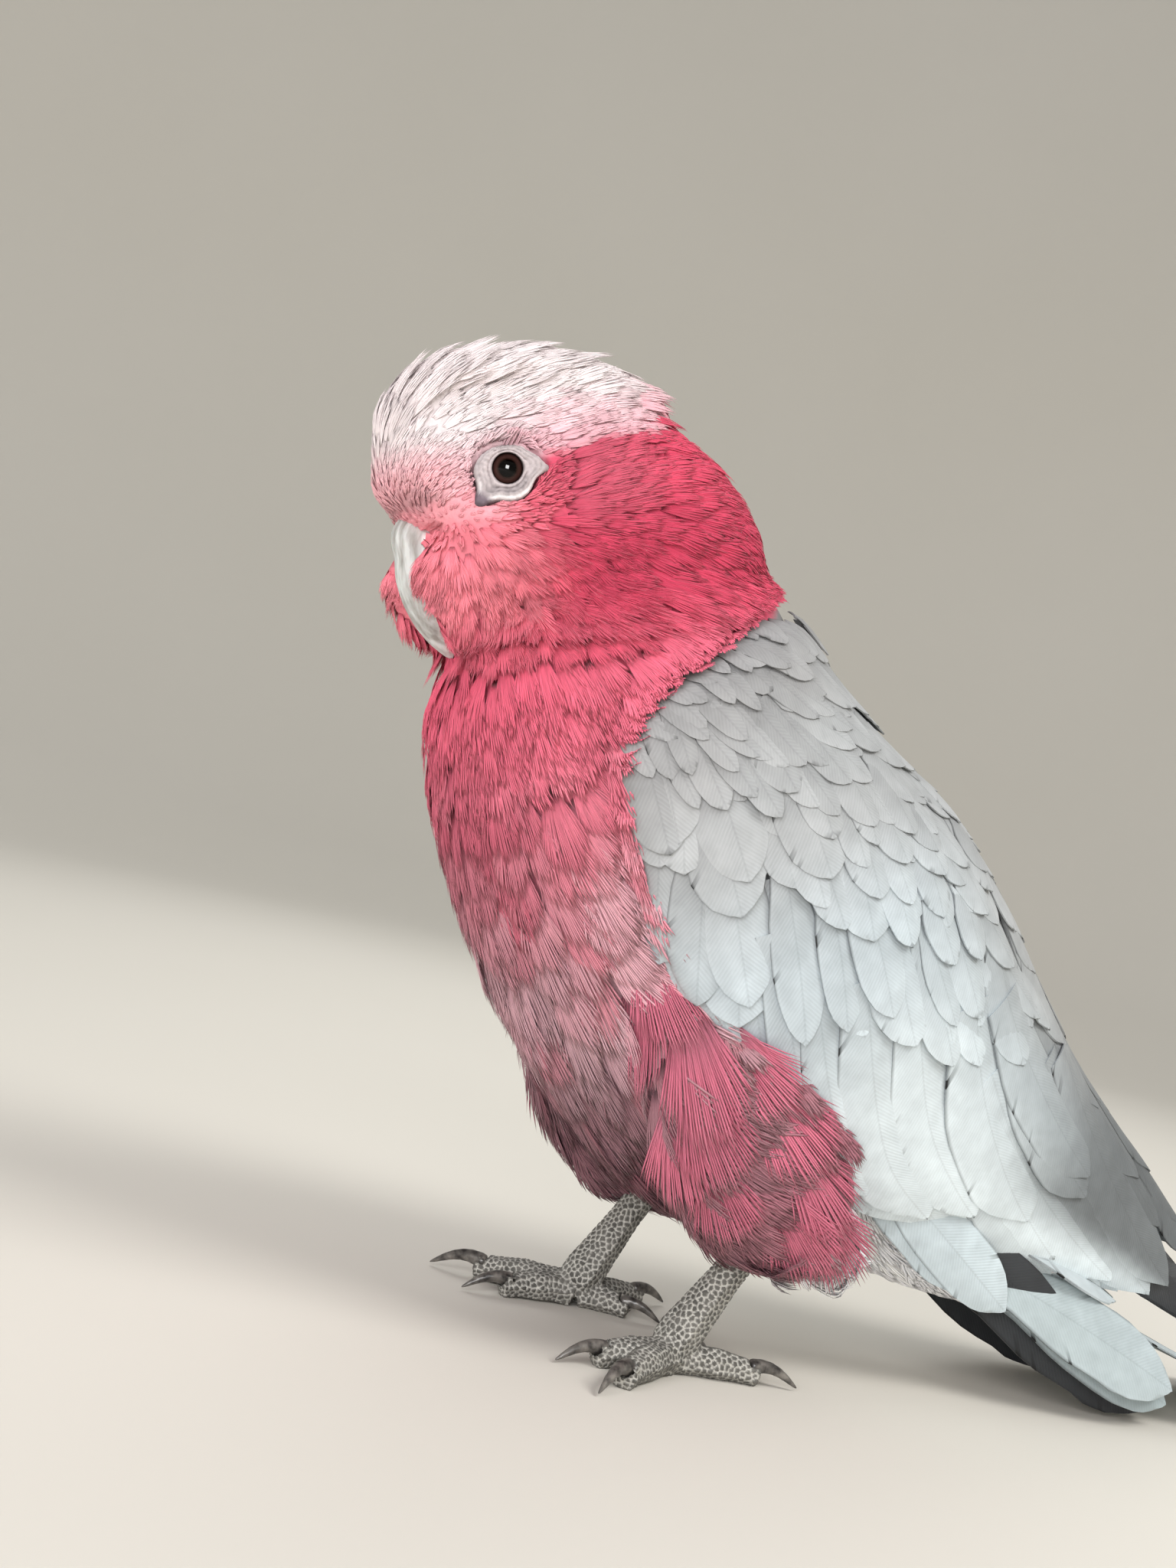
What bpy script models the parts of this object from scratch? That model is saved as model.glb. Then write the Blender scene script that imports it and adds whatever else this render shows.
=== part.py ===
"""Life-size museum model of a galah standing on a flat floor, as closed solids.

The bird faces -Y with its left side at +X and +Z up. Measures are in millimetres and are turned
to metres by MM. They are taken from a point on the floor between the feet, and the last step
moves the model so that the origin is at the middle of its base.
"""

import math

import bmesh
import bpy
from mathutils import Matrix, Vector

MM = 0.001
GAP = 0.35  # clear space between neighbouring solids
SIDES = ((1, "left"), (-1, "right"))

# Spine stations of the trunk and neck, from inside the head to the root of the tail:
# (y, z, slope of the axis below the level in degrees, half width, depth to breast, depth to back).
TRUNK_STATIONS = (
    (-54, 158, 64, 23, 26, 30),
    (-48, 146, 61, 31.5, 37, 39.5),
    (-41, 133, 57, 36, 43.5, 42),
    (-31, 118, 53, 39, 46.5, 43),
    (-19, 104, 49, 41, 49.5, 44.5),
    (-6, 90, 46, 41, 50.5, 46),
    (9, 77, 42, 39, 51.5, 46),
    (24, 65, 38, 35, 47, 41),
    (40, 55, 32, 28, 34, 31),
    (56, 46, 27, 20, 22, 20),
    (72, 38, 23, 12, 12, 12),
)
TRUNK_RINGS = 14
TRUNK_SIDES = 17
NECK_CUT = (-41, 133, 57)  # a point on the axis and the slope there
RUMP_CUT = (36, 57.5, 33)

# The head has a level frame of its own, with its origin between the eyes.
HEAD_CENTRE = (0, -69.6, 170)
HEAD_PITCH = 20
# (y, top, bottom, half width, how much wider the cheeks are than the crown)
HEAD_STATIONS = (
    (46, -13, -28, 9, 0.0),
    (43.5, -5.5, -32, 17, 0.0),
    (38.5, 2, -33.5, 22, 0.05),
    (30.5, 11.5, -34.5, 25, 0.1),
    (20, 20, -35, 26, 0.2),
    (7, 25, -35, 24.5, 0.3),
    (-6, 26, -34.5, 22.5, 0.36),
    (-16, 24.5, -30, 21, 0.34),
    (-23.5, 20.5, -18, 17.5, 0.24),
    (-28.5, 15, -8, 12.5, 0.1),
    (-31.5, 8.5, -1, 6, 0.0),
)
HEAD_RINGS = 14
HEAD_SIDES = 18

# A full cheek beside the bill: its middle and its radii, in the head's frame.
CHEEK_PLACE = (11.8, -16.2, -16.5)
CHEEK_RADII = (7.6, 14, 14.5)

# Upper bill: (front y, front z, back y, back z, half width) in the head's frame.
BILL_UPPER_STATIONS = (
    (-21, 1, -10, -9, 5.4),
    (-28, -4.5, -14.5, -12, 6.6),
    (-30.6, -12.5, -17, -16.5, 6.6),
    (-30, -19.5, -18, -20.5, 6.0),
    (-27.4, -26, -18.2, -24.2, 4.8),
    (-23.8, -30.6, -18, -27.4, 3.0),
    (-20.6, -33.2, -17.6, -30.6, 1.2),
)
BILL_LOWER_STATIONS = (
    (-10.5, -18, -3, -22, 5.2),
    (-14.8, -23, -7, -28, 5.4),
    (-17, -27, -11, -32.5, 4.6),
    (-16.8, -30.5, -14, -34.2, 2.6),
)
BILL_SIDES = 10
BILL_RINGS = 9

EYE_PLACE = (20.5, -11, 3.2)  # the left eye's outermost point in the head's frame
EYE_RADIUS = 4.9
EYE_TURN_FORWARD = 14  # degrees that the eye looks ahead of square to the side
EYE_OPENING = 3.1
LID_RADII = (7.3, 6.0)  # length along the head, height
LID_RISE = 0.55

# Crest: the crown's long feathers lie back in steps, each step ending in a raised tip.
CREST_ARC = (
    (-31.5, 8),
    (-30, 17.5),
    (-23.5, 24.5),
    (-13, 28.2),
    (0, 28.2),
    (12, 25.8),
    (23, 21),
    (34, 13.7),
)
CREST_TIPS = (0.23, 0.47, 0.68, 0.85)
CREST_STEP = 1.9
CREST_HALF_WIDTHS = (4, 10, 13.5, 14.5, 14, 12, 9, 3.5)
CREST_DEPTH = 1.5
CREST_RINGS = 18
CREST_COLUMNS = 4

# Folded wing, as part of an oval tube round the back: (y, z, slope, half width,
# height above the axis, angle from the spine down to the lower edge, thickness).
WING_STATIONS = (
    (-45, 137, 50, 30, 36, 100, 2.5),
    (-39, 131, 48, 38.5, 42, 113, 6),
    (-27.5, 116.5, 46, 43.5, 45, 120, 7),
    (-14, 101.5, 45, 46, 50, 122, 7),
    (1, 88, 43, 46, 54, 119, 6.5),
    (17, 74, 41, 43, 54.5, 116, 6),
    (34, 63, 39, 37, 50, 121, 5),
    (52, 56, 37, 31, 41.5, 127, 4),
    (70, 49.5, 35, 25, 33.5, 129, 3),
    (88, 43, 34, 19.5, 27, 127, 2.4),
    (102, 38, 33, 15, 22.5, 118, 2.1),
)
PRIMARY_STATIONS = (
    (102.6, 37.8, 33, 12.6, 21.5, 92, 1.9),
    (124, 29.5, 31, 8.8, 15, 97, 1.6),
    (142, 22.6, 29, 6.6, 10.6, 101, 1.4),
    (158, 16.8, 27, 5, 6.4, 104, 1.2),
    (170, 12.6, 24, 4.2, 2.6, 104, 1.0),
)
WING_TOP_ANGLE = 0.8  # degrees between the wing's upper edge and the middle of the back
WING_RINGS = 16
PRIMARY_RINGS = 6
WING_COLUMNS = 7
SECONDARY_TIPS = 7  # scallops along the lower edge, one for each showing feather tip
SCALLOP_DEPTH = 0.05

# Tail: (y, z of the middle, half width, half thickness), and how far its sides droop.
TAIL_STATIONS = (
    (64, 37, 8, 4.2),
    (80, 31.2, 10.5, 3.4),
    (100, 24, 13.5, 2.4),
    (120, 17.4, 17, 1.8),
    (140, 11.4, 20, 1.4),
    (160, 6.0, 22.5, 1.15),
    (180, 0.95, 24.5, 1.0),
)
TAIL_TIP_Y = 199
TAIL_FEATHERS = 12
TAIL_DROOP = 0.9
TAIL_RINGS = 6

# Soft feathering under the tail, from the vent to a third of the tail's length.
VENT_STATIONS = (
    (36, 34, 15, 9),
    (52, 30, 16.5, 9),
    (70, 25.8, 15.5, 7),
    (88, 21.6, 13, 4.6),
    (104, 17.4, 9, 2.4),
)

# Feathered thigh with the flank's loose feathers, down its length:
# (x, y, z, half width, half depth).
THIGH_STATIONS = (
    (29, -26, 78, 5, 10),
    (31.5, -16, 66, 9, 17),
    (31.5, -6, 54, 11.5, 20),
    (29, 4, 42.5, 12.5, 20),
    (26.5, 13.5, 35, 12, 15.5),
    (24.5, 21.5, 30, 9.5, 9.5),
    (23.5, 28.5, 26.5, 5.5, 4.5),
)
THIGH_SLOPE = 46

# Leg and foot of the left side. The foot's ball is where the four toes meet the shank.
ANKLE = (22.5, 7, 29)
BALL = (21.5, -6, 5.2)
SHANK_RADII = (3.6, 4.4)
BALL_RADIUS = 5.4
STRIDE = 5  # the right leg stands this much further forward
FOOT_TURNS = {1: 16, -1: 4}  # how far the left and the right foot are turned out
# name: (heading from straight ahead towards the outside, length, radius at the ball,
# radius at the claw, claw length)
TOES = {
    "inner_front": (-6, 16, 3.7, 2.8, 9),
    "outer_front": (28, 21.5, 4.0, 3.0, 10.5),
    "inner_back": (204, 11, 3.2, 2.5, 7.5),
    "outer_back": (156, 18, 3.6, 2.7, 9),
}
TOE_SIDES = 7
CLAW_SIDES = 5
SOLE_SINK = 0.82  # a toe's middle is this share of its radius above the floor: its sole is flat

# Finishes: (red, green, blue), roughness
FINISHES = {
    "rose": ((0.80, 0.17, 0.25), 0.8),
    "crown": ((0.90, 0.68, 0.68), 0.8),
    "grey": ((0.52, 0.54, 0.55), 0.7),
    "quill": ((0.20, 0.20, 0.21), 0.6),
    "horn": ((0.72, 0.72, 0.68), 0.35),
    "scaly": ((0.35, 0.33, 0.31), 0.6),
    "claw": ((0.16, 0.15, 0.15), 0.4),
    "eye": ((0.02, 0.01, 0.01), 0.08),
    "lid": ((0.62, 0.58, 0.57), 0.55),
}


def clear_scene():
    for obj in list(bpy.data.objects):
        bpy.data.objects.remove(obj)


def material(finish):
    made = bpy.data.materials.get(finish)
    if made:
        return made
    colour, roughness = FINISHES[finish]
    made = bpy.data.materials.new(finish)
    made.use_nodes = True
    shader = made.node_tree.nodes["Principled BSDF"]
    shader.inputs["Base Color"].default_value = (*colour, 1)
    shader.inputs["Roughness"].default_value = roughness
    shader.inputs["Metallic"].default_value = 0
    return made


def between(stations, share):
    """The station a share of the way along, on a smooth curve through all of them."""
    place = min(max(share, 0), 1) * (len(stations) - 1)
    first = min(int(place), len(stations) - 2)
    t = place - first
    rows = [stations[min(max(first + k, 0), len(stations) - 1)] for k in (-1, 0, 1, 2)]
    blended = []
    for a, b, c, d in zip(*rows):
        square, cube = 2 * a - 5 * b + 4 * c - d, 3 * b - a - 3 * c + d
        blended.append((2 * b + (c - a) * t + square * t**2 + cube * t**3) / 2)
    return blended


def spread(stations, count):
    return [between(stations, i / (count - 1)) for i in range(count)]


def new_object(name, mesh_maker, finish, helper=False):
    """An object whose bmesh is closed, faces out and is in metres."""
    bmesh.ops.recalc_face_normals(mesh_maker, faces=mesh_maker.faces)
    if mesh_maker.calc_volume(signed=True) < 0:
        bmesh.ops.reverse_faces(mesh_maker, faces=mesh_maker.faces)
    bmesh.ops.scale(mesh_maker, vec=(MM, MM, MM), verts=mesh_maker.verts)
    mesh = bpy.data.meshes.new(name)
    mesh_maker.to_mesh(mesh)
    mesh_maker.free()
    mesh.materials.append(material(finish))
    mesh.shade_smooth()
    mesh.set_sharp_from_angle(angle=math.radians(50))
    obj = bpy.data.objects.new(name, mesh)
    bpy.context.scene.collection.objects.link(obj)
    if helper:
        obj.hide_render = True
        obj.display_type = "WIRE"
    return obj


def loft(rings, start=None, end=None):
    """A closed bmesh through rings of points, which end in a point or in a flat cap."""
    made = bmesh.new()
    loops = [[made.verts.new(point) for point in ring] for ring in rings]
    for loop in loops:
        for a, b in zip(loop, loop[1:] + loop[:1]):
            made.edges.new((a, b))
    for one, two in zip(loops, loops[1:]):
        count = len(one)
        for i in range(count):
            j = (i + 1) % count
            made.faces.new((one[i], one[j], two[j], two[i]))
    for loop, tip in ((loops[0], start), (loops[-1], end)):
        cap = made.faces.new(loop)
        if tip is not None:
            middle = bmesh.ops.poke(made, faces=[cap])["verts"][0]
            middle.co = tip
    return made


def axis_frame(slope):
    """Unit vectors along the body and up from its back, for an axis that falls towards the tail."""
    angle = math.radians(slope)
    return Vector((0, math.cos(angle), -math.sin(angle))), Vector((0, math.sin(angle), math.cos(angle)))


def trunk_rings(grow=0.0):
    rings = []
    for y, z, slope, half_width, breast, back in spread(TRUNK_STATIONS, TRUNK_RINGS):
        _, up = axis_frame(slope)
        ring = []
        for k in range(TRUNK_SIDES):
            angle = 2 * math.pi * k / TRUNK_SIDES
            rise = math.cos(angle)
            depth = (back if rise > 0 else breast) + grow
            side = (half_width + grow) * math.sin(angle)
            ring.append(Vector((side, y, z)) + up * depth * rise)
        rings.append(ring)
    return rings


def trunk_mesh(grow=0.0):
    rings = trunk_rings(grow)
    first, last = TRUNK_STATIONS[0], TRUNK_STATIONS[-1]
    start = Vector((0, first[0], first[1])) - axis_frame(first[2])[0] * (9 + grow)
    end = Vector((0, last[0], last[1])) + axis_frame(last[2])[0] * (5 + grow)
    return loft(rings, start, end)


def trunk_part(name, finish, front_cut, back_cut):
    """A length of the trunk's loft, closed by a flat face at each cut."""
    made = trunk_mesh()
    for cut_place, sign in ((front_cut, 1), (back_cut, -1)):
        if cut_place:
            y, z, slope = cut_place
            along, _ = axis_frame(slope)
            bmesh.ops.bisect_plane(
                made,
                geom=made.verts[:] + made.edges[:] + made.faces[:],
                plane_co=Vector((0, y, z)) + along * sign * GAP / 2,
                plane_no=along * -sign,
                clear_outer=True,
            )
            bmesh.ops.holes_fill(made, edges=made.edges, sides=0)
    return new_object(name, made, finish)


def head_matrix():
    return Matrix.Translation(HEAD_CENTRE) @ Matrix.Rotation(math.radians(HEAD_PITCH), 4, "X")


def placed(made, matrix):
    bmesh.ops.transform(made, matrix=matrix, verts=made.verts)
    return made


def head_mesh(grow=0.0):
    rings = []
    for y, top, bottom, half_width, cheek in spread(HEAD_STATIONS, HEAD_RINGS):
        middle, half = (top + bottom) / 2, (top - bottom) / 2 + grow
        ring = []
        for k in range(HEAD_SIDES):
            angle = 2 * math.pi * k / HEAD_SIDES
            rise = math.cos(angle)
            side = (half_width * (1 - cheek * rise) + grow) * math.sin(angle)
            ring.append(Vector((side, y, middle + half * rise)))
        rings.append(ring)
    back, front = HEAD_STATIONS[0], HEAD_STATIONS[-1]
    start = Vector((0, back[0] + 3 + grow, (back[1] + back[2]) / 2))
    end = Vector((0, front[0] - 1.2 - grow, (front[1] + front[2]) / 2))
    return placed(loft(rings, start, end), head_matrix())


def cheek_mesh(side, grow=0.0):
    made = bmesh.new()
    bmesh.ops.create_uvsphere(made, u_segments=12, v_segments=8, radius=1)
    bmesh.ops.scale(made, vec=[radius + grow for radius in CHEEK_RADII], verts=made.verts)
    x, y, z = CHEEK_PLACE
    return placed(made, head_matrix() @ Matrix.Translation((side * x, y, z)))


def bill_mesh(stations, grow=0.0):
    rings = []
    for front_y, front_z, back_y, back_z, half_width in spread(stations, BILL_RINGS):
        front, back = Vector((0, front_y, front_z)), Vector((0, back_y, back_z))
        middle, reach = (front + back) / 2, (front - back) / 2
        reach += reach.normalized() * grow
        ring = []
        for k in range(BILL_SIDES):
            angle = 2 * math.pi * k / BILL_SIDES
            ahead = math.cos(angle)
            narrowing = 1 - 0.22 * max(ahead, 0) ** 2  # the culmen is a blunt ridge
            side = (half_width + grow) * math.sin(angle) * narrowing
            ring.append(middle + reach * ahead + Vector((side, 0, 0)))
        rings.append(ring)
    last, before = rings[-1], rings[-2]
    end = sum(last, Vector()) / BILL_SIDES
    end += (end - sum(before, Vector()) / BILL_SIDES).normalized() * (0.8 + grow)
    return placed(loft(rings, None, end), head_matrix())


def eye_matrix(side):
    """The eye's frame, with its Z out of the head."""
    x, y, z = EYE_PLACE
    turn = Matrix.Rotation(math.radians(90), 4, "Y")
    ahead = Matrix.Rotation(math.radians(-EYE_TURN_FORWARD), 4, "Z")
    left = Matrix.Translation((x, y, z)) @ ahead @ turn
    mirror = Matrix.Diagonal((side, 1, 1, 1))
    return head_matrix() @ mirror @ left


def eye_mesh(side, grow=0.0):
    made = bmesh.new()
    bmesh.ops.create_uvsphere(made, u_segments=12, v_segments=7, radius=EYE_RADIUS + grow)
    bmesh.ops.translate(made, vec=(0, 0, -EYE_RADIUS), verts=made.verts)
    return placed(made, eye_matrix(side))


def lid_mesh(side, grow=0.0):
    """A ring of bare skin that follows the eyeball at its inner rim and lies flat at its outer one."""
    sides = 14
    profile = (
        (0.0, LID_RISE - 1.0),
        (0.0, LID_RISE),
        (0.45, LID_RISE + 0.1),
        (1.0, LID_RISE - 1.8),
        (1.0, LID_RISE - 4.2),
    )
    made = bmesh.new()
    loops = []
    for share, height in profile:
        loop = []
        for k in range(sides):
            angle = 2 * math.pi * k / sides
            outer = Vector((LID_RADII[1] * math.cos(angle), LID_RADII[0] * math.sin(angle), 0))
            inner = outer.normalized() * EYE_OPENING
            flat = inner.lerp(outer, share)
            push = grow if share > 0.5 else -grow
            flat += flat.normalized() * push
            rise = grow if height > LID_RISE - 1.5 else -grow
            loop.append(made.verts.new(flat + Vector((0, 0, height + rise))))
        loops.append(loop)
    for one, two in zip(loops, loops[1:] + loops[:1]):
        for i in range(sides):
            j = (i + 1) % sides
            made.faces.new((one[i], one[j], two[j], two[i]))
    return placed(made, eye_matrix(side))


def lid_space_mesh(side):
    """A plug a little larger than the lid ring, from its outer rim inwards."""
    sides = 14
    levels = ((1.0, LID_RISE + 4), (1.0, LID_RISE - 4.2 - GAP))
    rings = []
    for share, height in levels:
        ring = []
        for k in range(sides):
            angle = 2 * math.pi * k / sides
            flat = Vector((LID_RADII[1] * math.cos(angle), LID_RADII[0] * math.sin(angle), 0)) * share
            ring.append(flat + flat.normalized() * GAP + Vector((0, 0, height)))
        rings.append(ring)
    return placed(loft(rings), eye_matrix(side))


def crest_mesh():
    """A cap along the crown with raised feather tips along its top."""
    arc = spread(CREST_ARC, CREST_RINGS)
    widths = spread([(width,) for width in CREST_HALF_WIDTHS], CREST_RINGS)
    rings = []
    for i, (y, z) in enumerate(arc):
        share = i / (CREST_RINGS - 1)
        before, after = Vector(arc[max(i - 1, 0)]), Vector(arc[min(i + 1, CREST_RINGS - 1)])
        run = (after - before).normalized()
        up = Vector((0, -run.y, run.x))
        height = crest_height(share)
        top, under = [], []
        for k in range(CREST_COLUMNS + 1):
            across = 2 * k / CREST_COLUMNS - 1
            half_width = widths[i][0]
            fall = half_width**2 * across**2 / 34
            base = Vector((half_width * across, y, z)) - up * fall
            edge = math.sqrt(max(1 - across**2, 0))
            top.append(base + up * (0.35 + height * edge))
            under.append(base - up * (0.35 + CREST_DEPTH * edge))
        rings.append(top + under[::-1])
    return placed(loft(rings), head_matrix())


def crest_height(share):
    """How far the crest stands above the crown: it rises to each feather tip and drops behind it."""
    start = 0.0
    for tip in (*CREST_TIPS, 1.0):
        if share <= tip:
            ramp = (share - start) / (tip - start)
            return 0.6 + CREST_STEP * ramp**1.5 * (1.0 if tip < 1.0 else 0.55)
        start = tip
    return 0.6


def wing_section(station, side, grow, scallop):
    """One ring of a folded wing: its outer face from the back to the lower edge, then its inner face."""
    y, z, slope, half_width, height, lower, thick = station
    _, up = axis_frame(slope)
    extra = math.degrees(1.5 * grow / half_width)
    high_angle = WING_TOP_ANGLE - extra
    low_angle = lower * (1 - scallop) + extra
    outer, inner = [], []
    for k in range(WING_COLUMNS + 1):
        share = k / WING_COLUMNS
        angle = math.radians(high_angle + (low_angle - high_angle) * share)
        sideways = Vector((side * math.sin(angle) * (half_width + grow), 0, 0))
        out = sideways + up * math.cos(angle) * (height + grow)
        edge = min(share, 1 - share) * 2
        wall = max(thick * (0.35 + 0.65 * math.sqrt(edge)), 0.9) + 2 * grow
        outer.append(Vector((0, y, z)) + out)
        inner.append(Vector((0, y, z)) + out - out.normalized() * wall)
    return outer + inner[::-1]


def wing_mesh(stations, side, rings, scallops, grow=0.0):
    made = []
    for i in range(rings):
        share = i / (rings - 1)
        wave = abs(math.sin(math.pi * scallops * share)) if scallops else 1
        scallop = SCALLOP_DEPTH * (1 - wave) * min(1, share * 3)
        made.append(wing_section(between(stations, share), side, grow, scallop))
    first, last = between(stations, 0), between(stations, 1)
    if grow:
        made[0] = [p - axis_frame(first[2])[0] * grow for p in made[0]]
        made[-1] = [p + axis_frame(last[2])[0] * grow for p in made[-1]]
    return loft(made)


def tail_mesh():
    """A fan of long feathers as one thin plate: its end follows the round tips of the feathers."""
    columns = 14
    rings = []
    for i in range(TAIL_RINGS + 1):
        share = i / TAIL_RINGS
        y, z, half_width, thick = between(TAIL_STATIONS, share)
        top, under = [], []
        for k in range(columns + 1):
            across = 2 * k / columns - 1
            droop = TAIL_DROOP * across**2 * (1 - share)
            tip = abs(math.sin(math.pi * TAIL_FEATHERS * (across + 1) / 2))
            reach = (TAIL_TIP_Y - TAIL_STATIONS[-1][0]) * (0.72 + 0.28 * tip) * (1 - 0.38 * across**2)
            edge = 0.45 + 0.55 * math.sqrt(max(1 - across**2, 0))
            place = Vector((half_width * across, y + reach * share**4, z - droop * 3))
            up = max(thick * edge, 0.35)
            top.append(place + Vector((0, 0, up)))
            under.append(Vector((place.x, place.y, max(place.z - up, 0))))
        rings.append(top + under[::-1])
    return loft(rings)


def vent_mesh(grow=0.0):
    rings = []
    for y, z, half_width, half_depth in spread(VENT_STATIONS, 8):
        ring = []
        for k in range(12):
            angle = 2 * math.pi * k / 12
            side, rise = (half_width + grow) * math.sin(angle), (half_depth + grow) * math.cos(angle)
            ring.append(Vector((side, y, z + rise)))
        rings.append(ring)
    return loft(rings, Vector((0, 31 - grow, 35)), Vector((0, 107 + grow, 16.6)))


def thigh_mesh(side, grow=0.0):
    _, up = axis_frame(THIGH_SLOPE)
    rings = []
    for x, y, z, half_width, half_depth in spread(THIGH_STATIONS, 8):
        ring = []
        for k in range(12):
            angle = 2 * math.pi * k / 12
            out = Vector((side * (half_width + grow) * math.sin(angle), 0, 0))
            ring.append(leg_place(side, (x, y, z)) + out + up * (half_depth + grow) * math.cos(angle))
        rings.append(ring)
    first, last = THIGH_STATIONS[0], THIGH_STATIONS[-1]
    start = leg_place(side, (first[0], first[1] - 3 - grow, first[2] + 4 + grow))
    end = leg_place(side, (last[0], last[1] + 1.6 + grow, last[2] - 1.8 - grow))
    return loft(rings, start, end)


def tube_rings(points, radii, sides):
    rings = []
    for i, (point, radius) in enumerate(zip(points, radii)):
        before, after = points[max(i - 1, 0)], points[min(i + 1, len(points) - 1)]
        run = (after - before).normalized()
        level = Vector((0, 0, 1)).cross(run)
        level = level.normalized() if level.length > 1e-6 else Vector((1, 0, 0))
        up = run.cross(level)
        ring = []
        for k in range(sides):
            angle = 2 * math.pi * k / sides
            ring.append(point + (level * math.cos(angle) + up * math.sin(angle)) * radius)
        rings.append(ring)
    return rings


def flatten_sole(made):
    """Cuts off what is below the floor, so that the piece stands on a small flat."""
    if min(v.co.z for v in made.verts) < 0:
        whole = made.verts[:] + made.edges[:] + made.faces[:]
        bmesh.ops.bisect_plane(made, geom=whole, plane_no=(0, 0, -1), clear_outer=True)
        bmesh.ops.holes_fill(made, edges=made.edges, sides=0)
    return made


def leg_place(side, point):
    x, y, z = point
    return Vector((side * x, y - (STRIDE if side < 0 else 0), z))


def shank_mesh(side, grow=0.0):
    ankle, ball = leg_place(side, ANKLE), leg_place(side, BALL)
    points = [ankle.lerp(ball, t) for t in (0, 0.35, 0.7, 0.88, 1.0)]
    thin, thick = SHANK_RADII
    radii = [r + grow for r in (thin, thin, thick, BALL_RADIUS - 0.5, BALL_RADIUS - 0.7)]
    run = (ball - ankle).normalized()
    start, end = ankle - run * (2.2 + grow), ball + run * (4.4 + grow)
    return flatten_sole(loft(tube_rings(points, radii, TOE_SIDES), start, end))


def toe_axis(side, name):
    """The toe's middle line on the floor, from inside the ball to the claw's root."""
    heading, length, thick, thin, _ = TOES[name]
    angle = math.radians(heading + FOOT_TURNS[side])
    ahead = Vector((side * math.sin(angle), -math.cos(angle), 0))
    ball = leg_place(side, BALL)
    points, radii = [], []
    for i in range(5):
        share = i / 4
        radius = thick + (thin - thick) * share
        pad = 1 + 0.05 * math.cos(share * 4 * math.pi)  # pads under each toe
        arch = math.sin(math.pi * share) * 0.5
        height = radius * SOLE_SINK + arch
        points.append(Vector((ball.x, ball.y, height)) + ahead * (1.5 + length * share))
        radii.append(radius * pad)
    return points, radii, ahead


def toe_mesh(side, name):
    points, radii, ahead = toe_axis(side, name)
    end = points[-1] + ahead * 1.0
    return flatten_sole(loft(tube_rings(points, radii, TOE_SIDES), points[0] - ahead, end))


def toe_space_mesh(side, name):
    points, radii, ahead = toe_axis(side, name)
    rings = tube_rings(points, [radius + GAP for radius in radii], TOE_SIDES)
    return loft(rings, points[0] - ahead * 1.4, points[-1] + ahead * 1.4)


def claw_mesh(side, name, grow=0.0):
    """A claw that arches out of the toe's end and comes down to a point on the floor."""
    points, radii, ahead = toe_axis(side, name)
    root = points[-1] - ahead * 2.0
    length, start = TOES[name][4], radii[-1] * 0.62
    line, sizes = [], []
    for i in range(7):
        share = i / 6
        arch = math.sin(math.pi * (0.15 + 0.85 * share)) * length * 0.24
        height = 0.9 + arch + radii[-1] * 0.55 * (1 - share)
        line.append(Vector((root.x, root.y, height)) + ahead * (length + 2.0) * share)
        sizes.append(start * (1 - share) ** 0.75 + 0.35 + grow)
    tip = line[-1] + ahead * 0.6 - Vector((0, 0, 0.3))
    return flatten_sole(loft(tube_rings(line, sizes, CLAW_SIDES), None, tip))


def tool(name, made):
    """A hidden solid that only cuts or joins."""
    return new_object(name, made, "grey", helper=True)


def apply_tools(obj, operation, tools):
    for other in tools:
        step = obj.modifiers.new(other.name, "BOOLEAN")
        step.operation = operation
        step.solver = "EXACT"
        step.object = other


def cut(obj, *tools):
    apply_tools(obj, "DIFFERENCE", tools)


def join(obj, *tools):
    apply_tools(obj, "UNION", tools)


def build_head():
    """The head with its cheeks, bill, eyes and crest, and the space they need."""
    head = new_object("head", head_mesh(), "rose")
    crest = new_object("crest", crest_mesh(), "crown")
    new_object("bill_upper", bill_mesh(BILL_UPPER_STATIONS), "horn")
    lower = new_object("bill_lower", bill_mesh(BILL_LOWER_STATIONS), "horn")
    head_space = tool("space_head", head_mesh(GAP))
    upper_space = tool("space_bill_upper", bill_mesh(BILL_UPPER_STATIONS, GAP))
    lower_space = tool("space_bill_lower", bill_mesh(BILL_LOWER_STATIONS, GAP))
    spaces = [head_space, upper_space, lower_space]
    for side, word in SIDES:
        join(head, tool(f"join_cheek_{word}", cheek_mesh(side)))
        spaces.append(tool(f"space_cheek_{word}", cheek_mesh(side, GAP)))
    cut(crest, head_space)
    cut(lower, upper_space)
    cut(head, lower_space, upper_space)
    for side, word in SIDES:
        new_object(f"eye_{word}", eye_mesh(side), "eye")
        lid = new_object(f"eyelid_{word}", lid_mesh(side), "lid")
        eye_space = tool(f"space_eye_{word}", eye_mesh(side, GAP))
        lid_space = tool(f"space_eyelid_{word}", lid_space_mesh(side))
        cut(lid, eye_space)
        cut(head, lid_space, eye_space)
    return spaces


def build_foot(side, word, shank_space):
    """Four toes and their claws: each toe gives way to the shank, its claw and the toes before it."""
    toe_spaces = []
    for name in TOES:
        toe = new_object(f"toe_{word}_{name}", toe_mesh(side, name), "scaly")
        new_object(f"claw_{word}_{name}", claw_mesh(side, name), "claw")
        claw_space = tool(f"space_claw_{word}_{name}", claw_mesh(side, name, GAP))
        cut(toe, shank_space, claw_space, *toe_spaces)
        toe_spaces.append(tool(f"space_toe_{word}_{name}", toe_space_mesh(side, name)))


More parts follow.
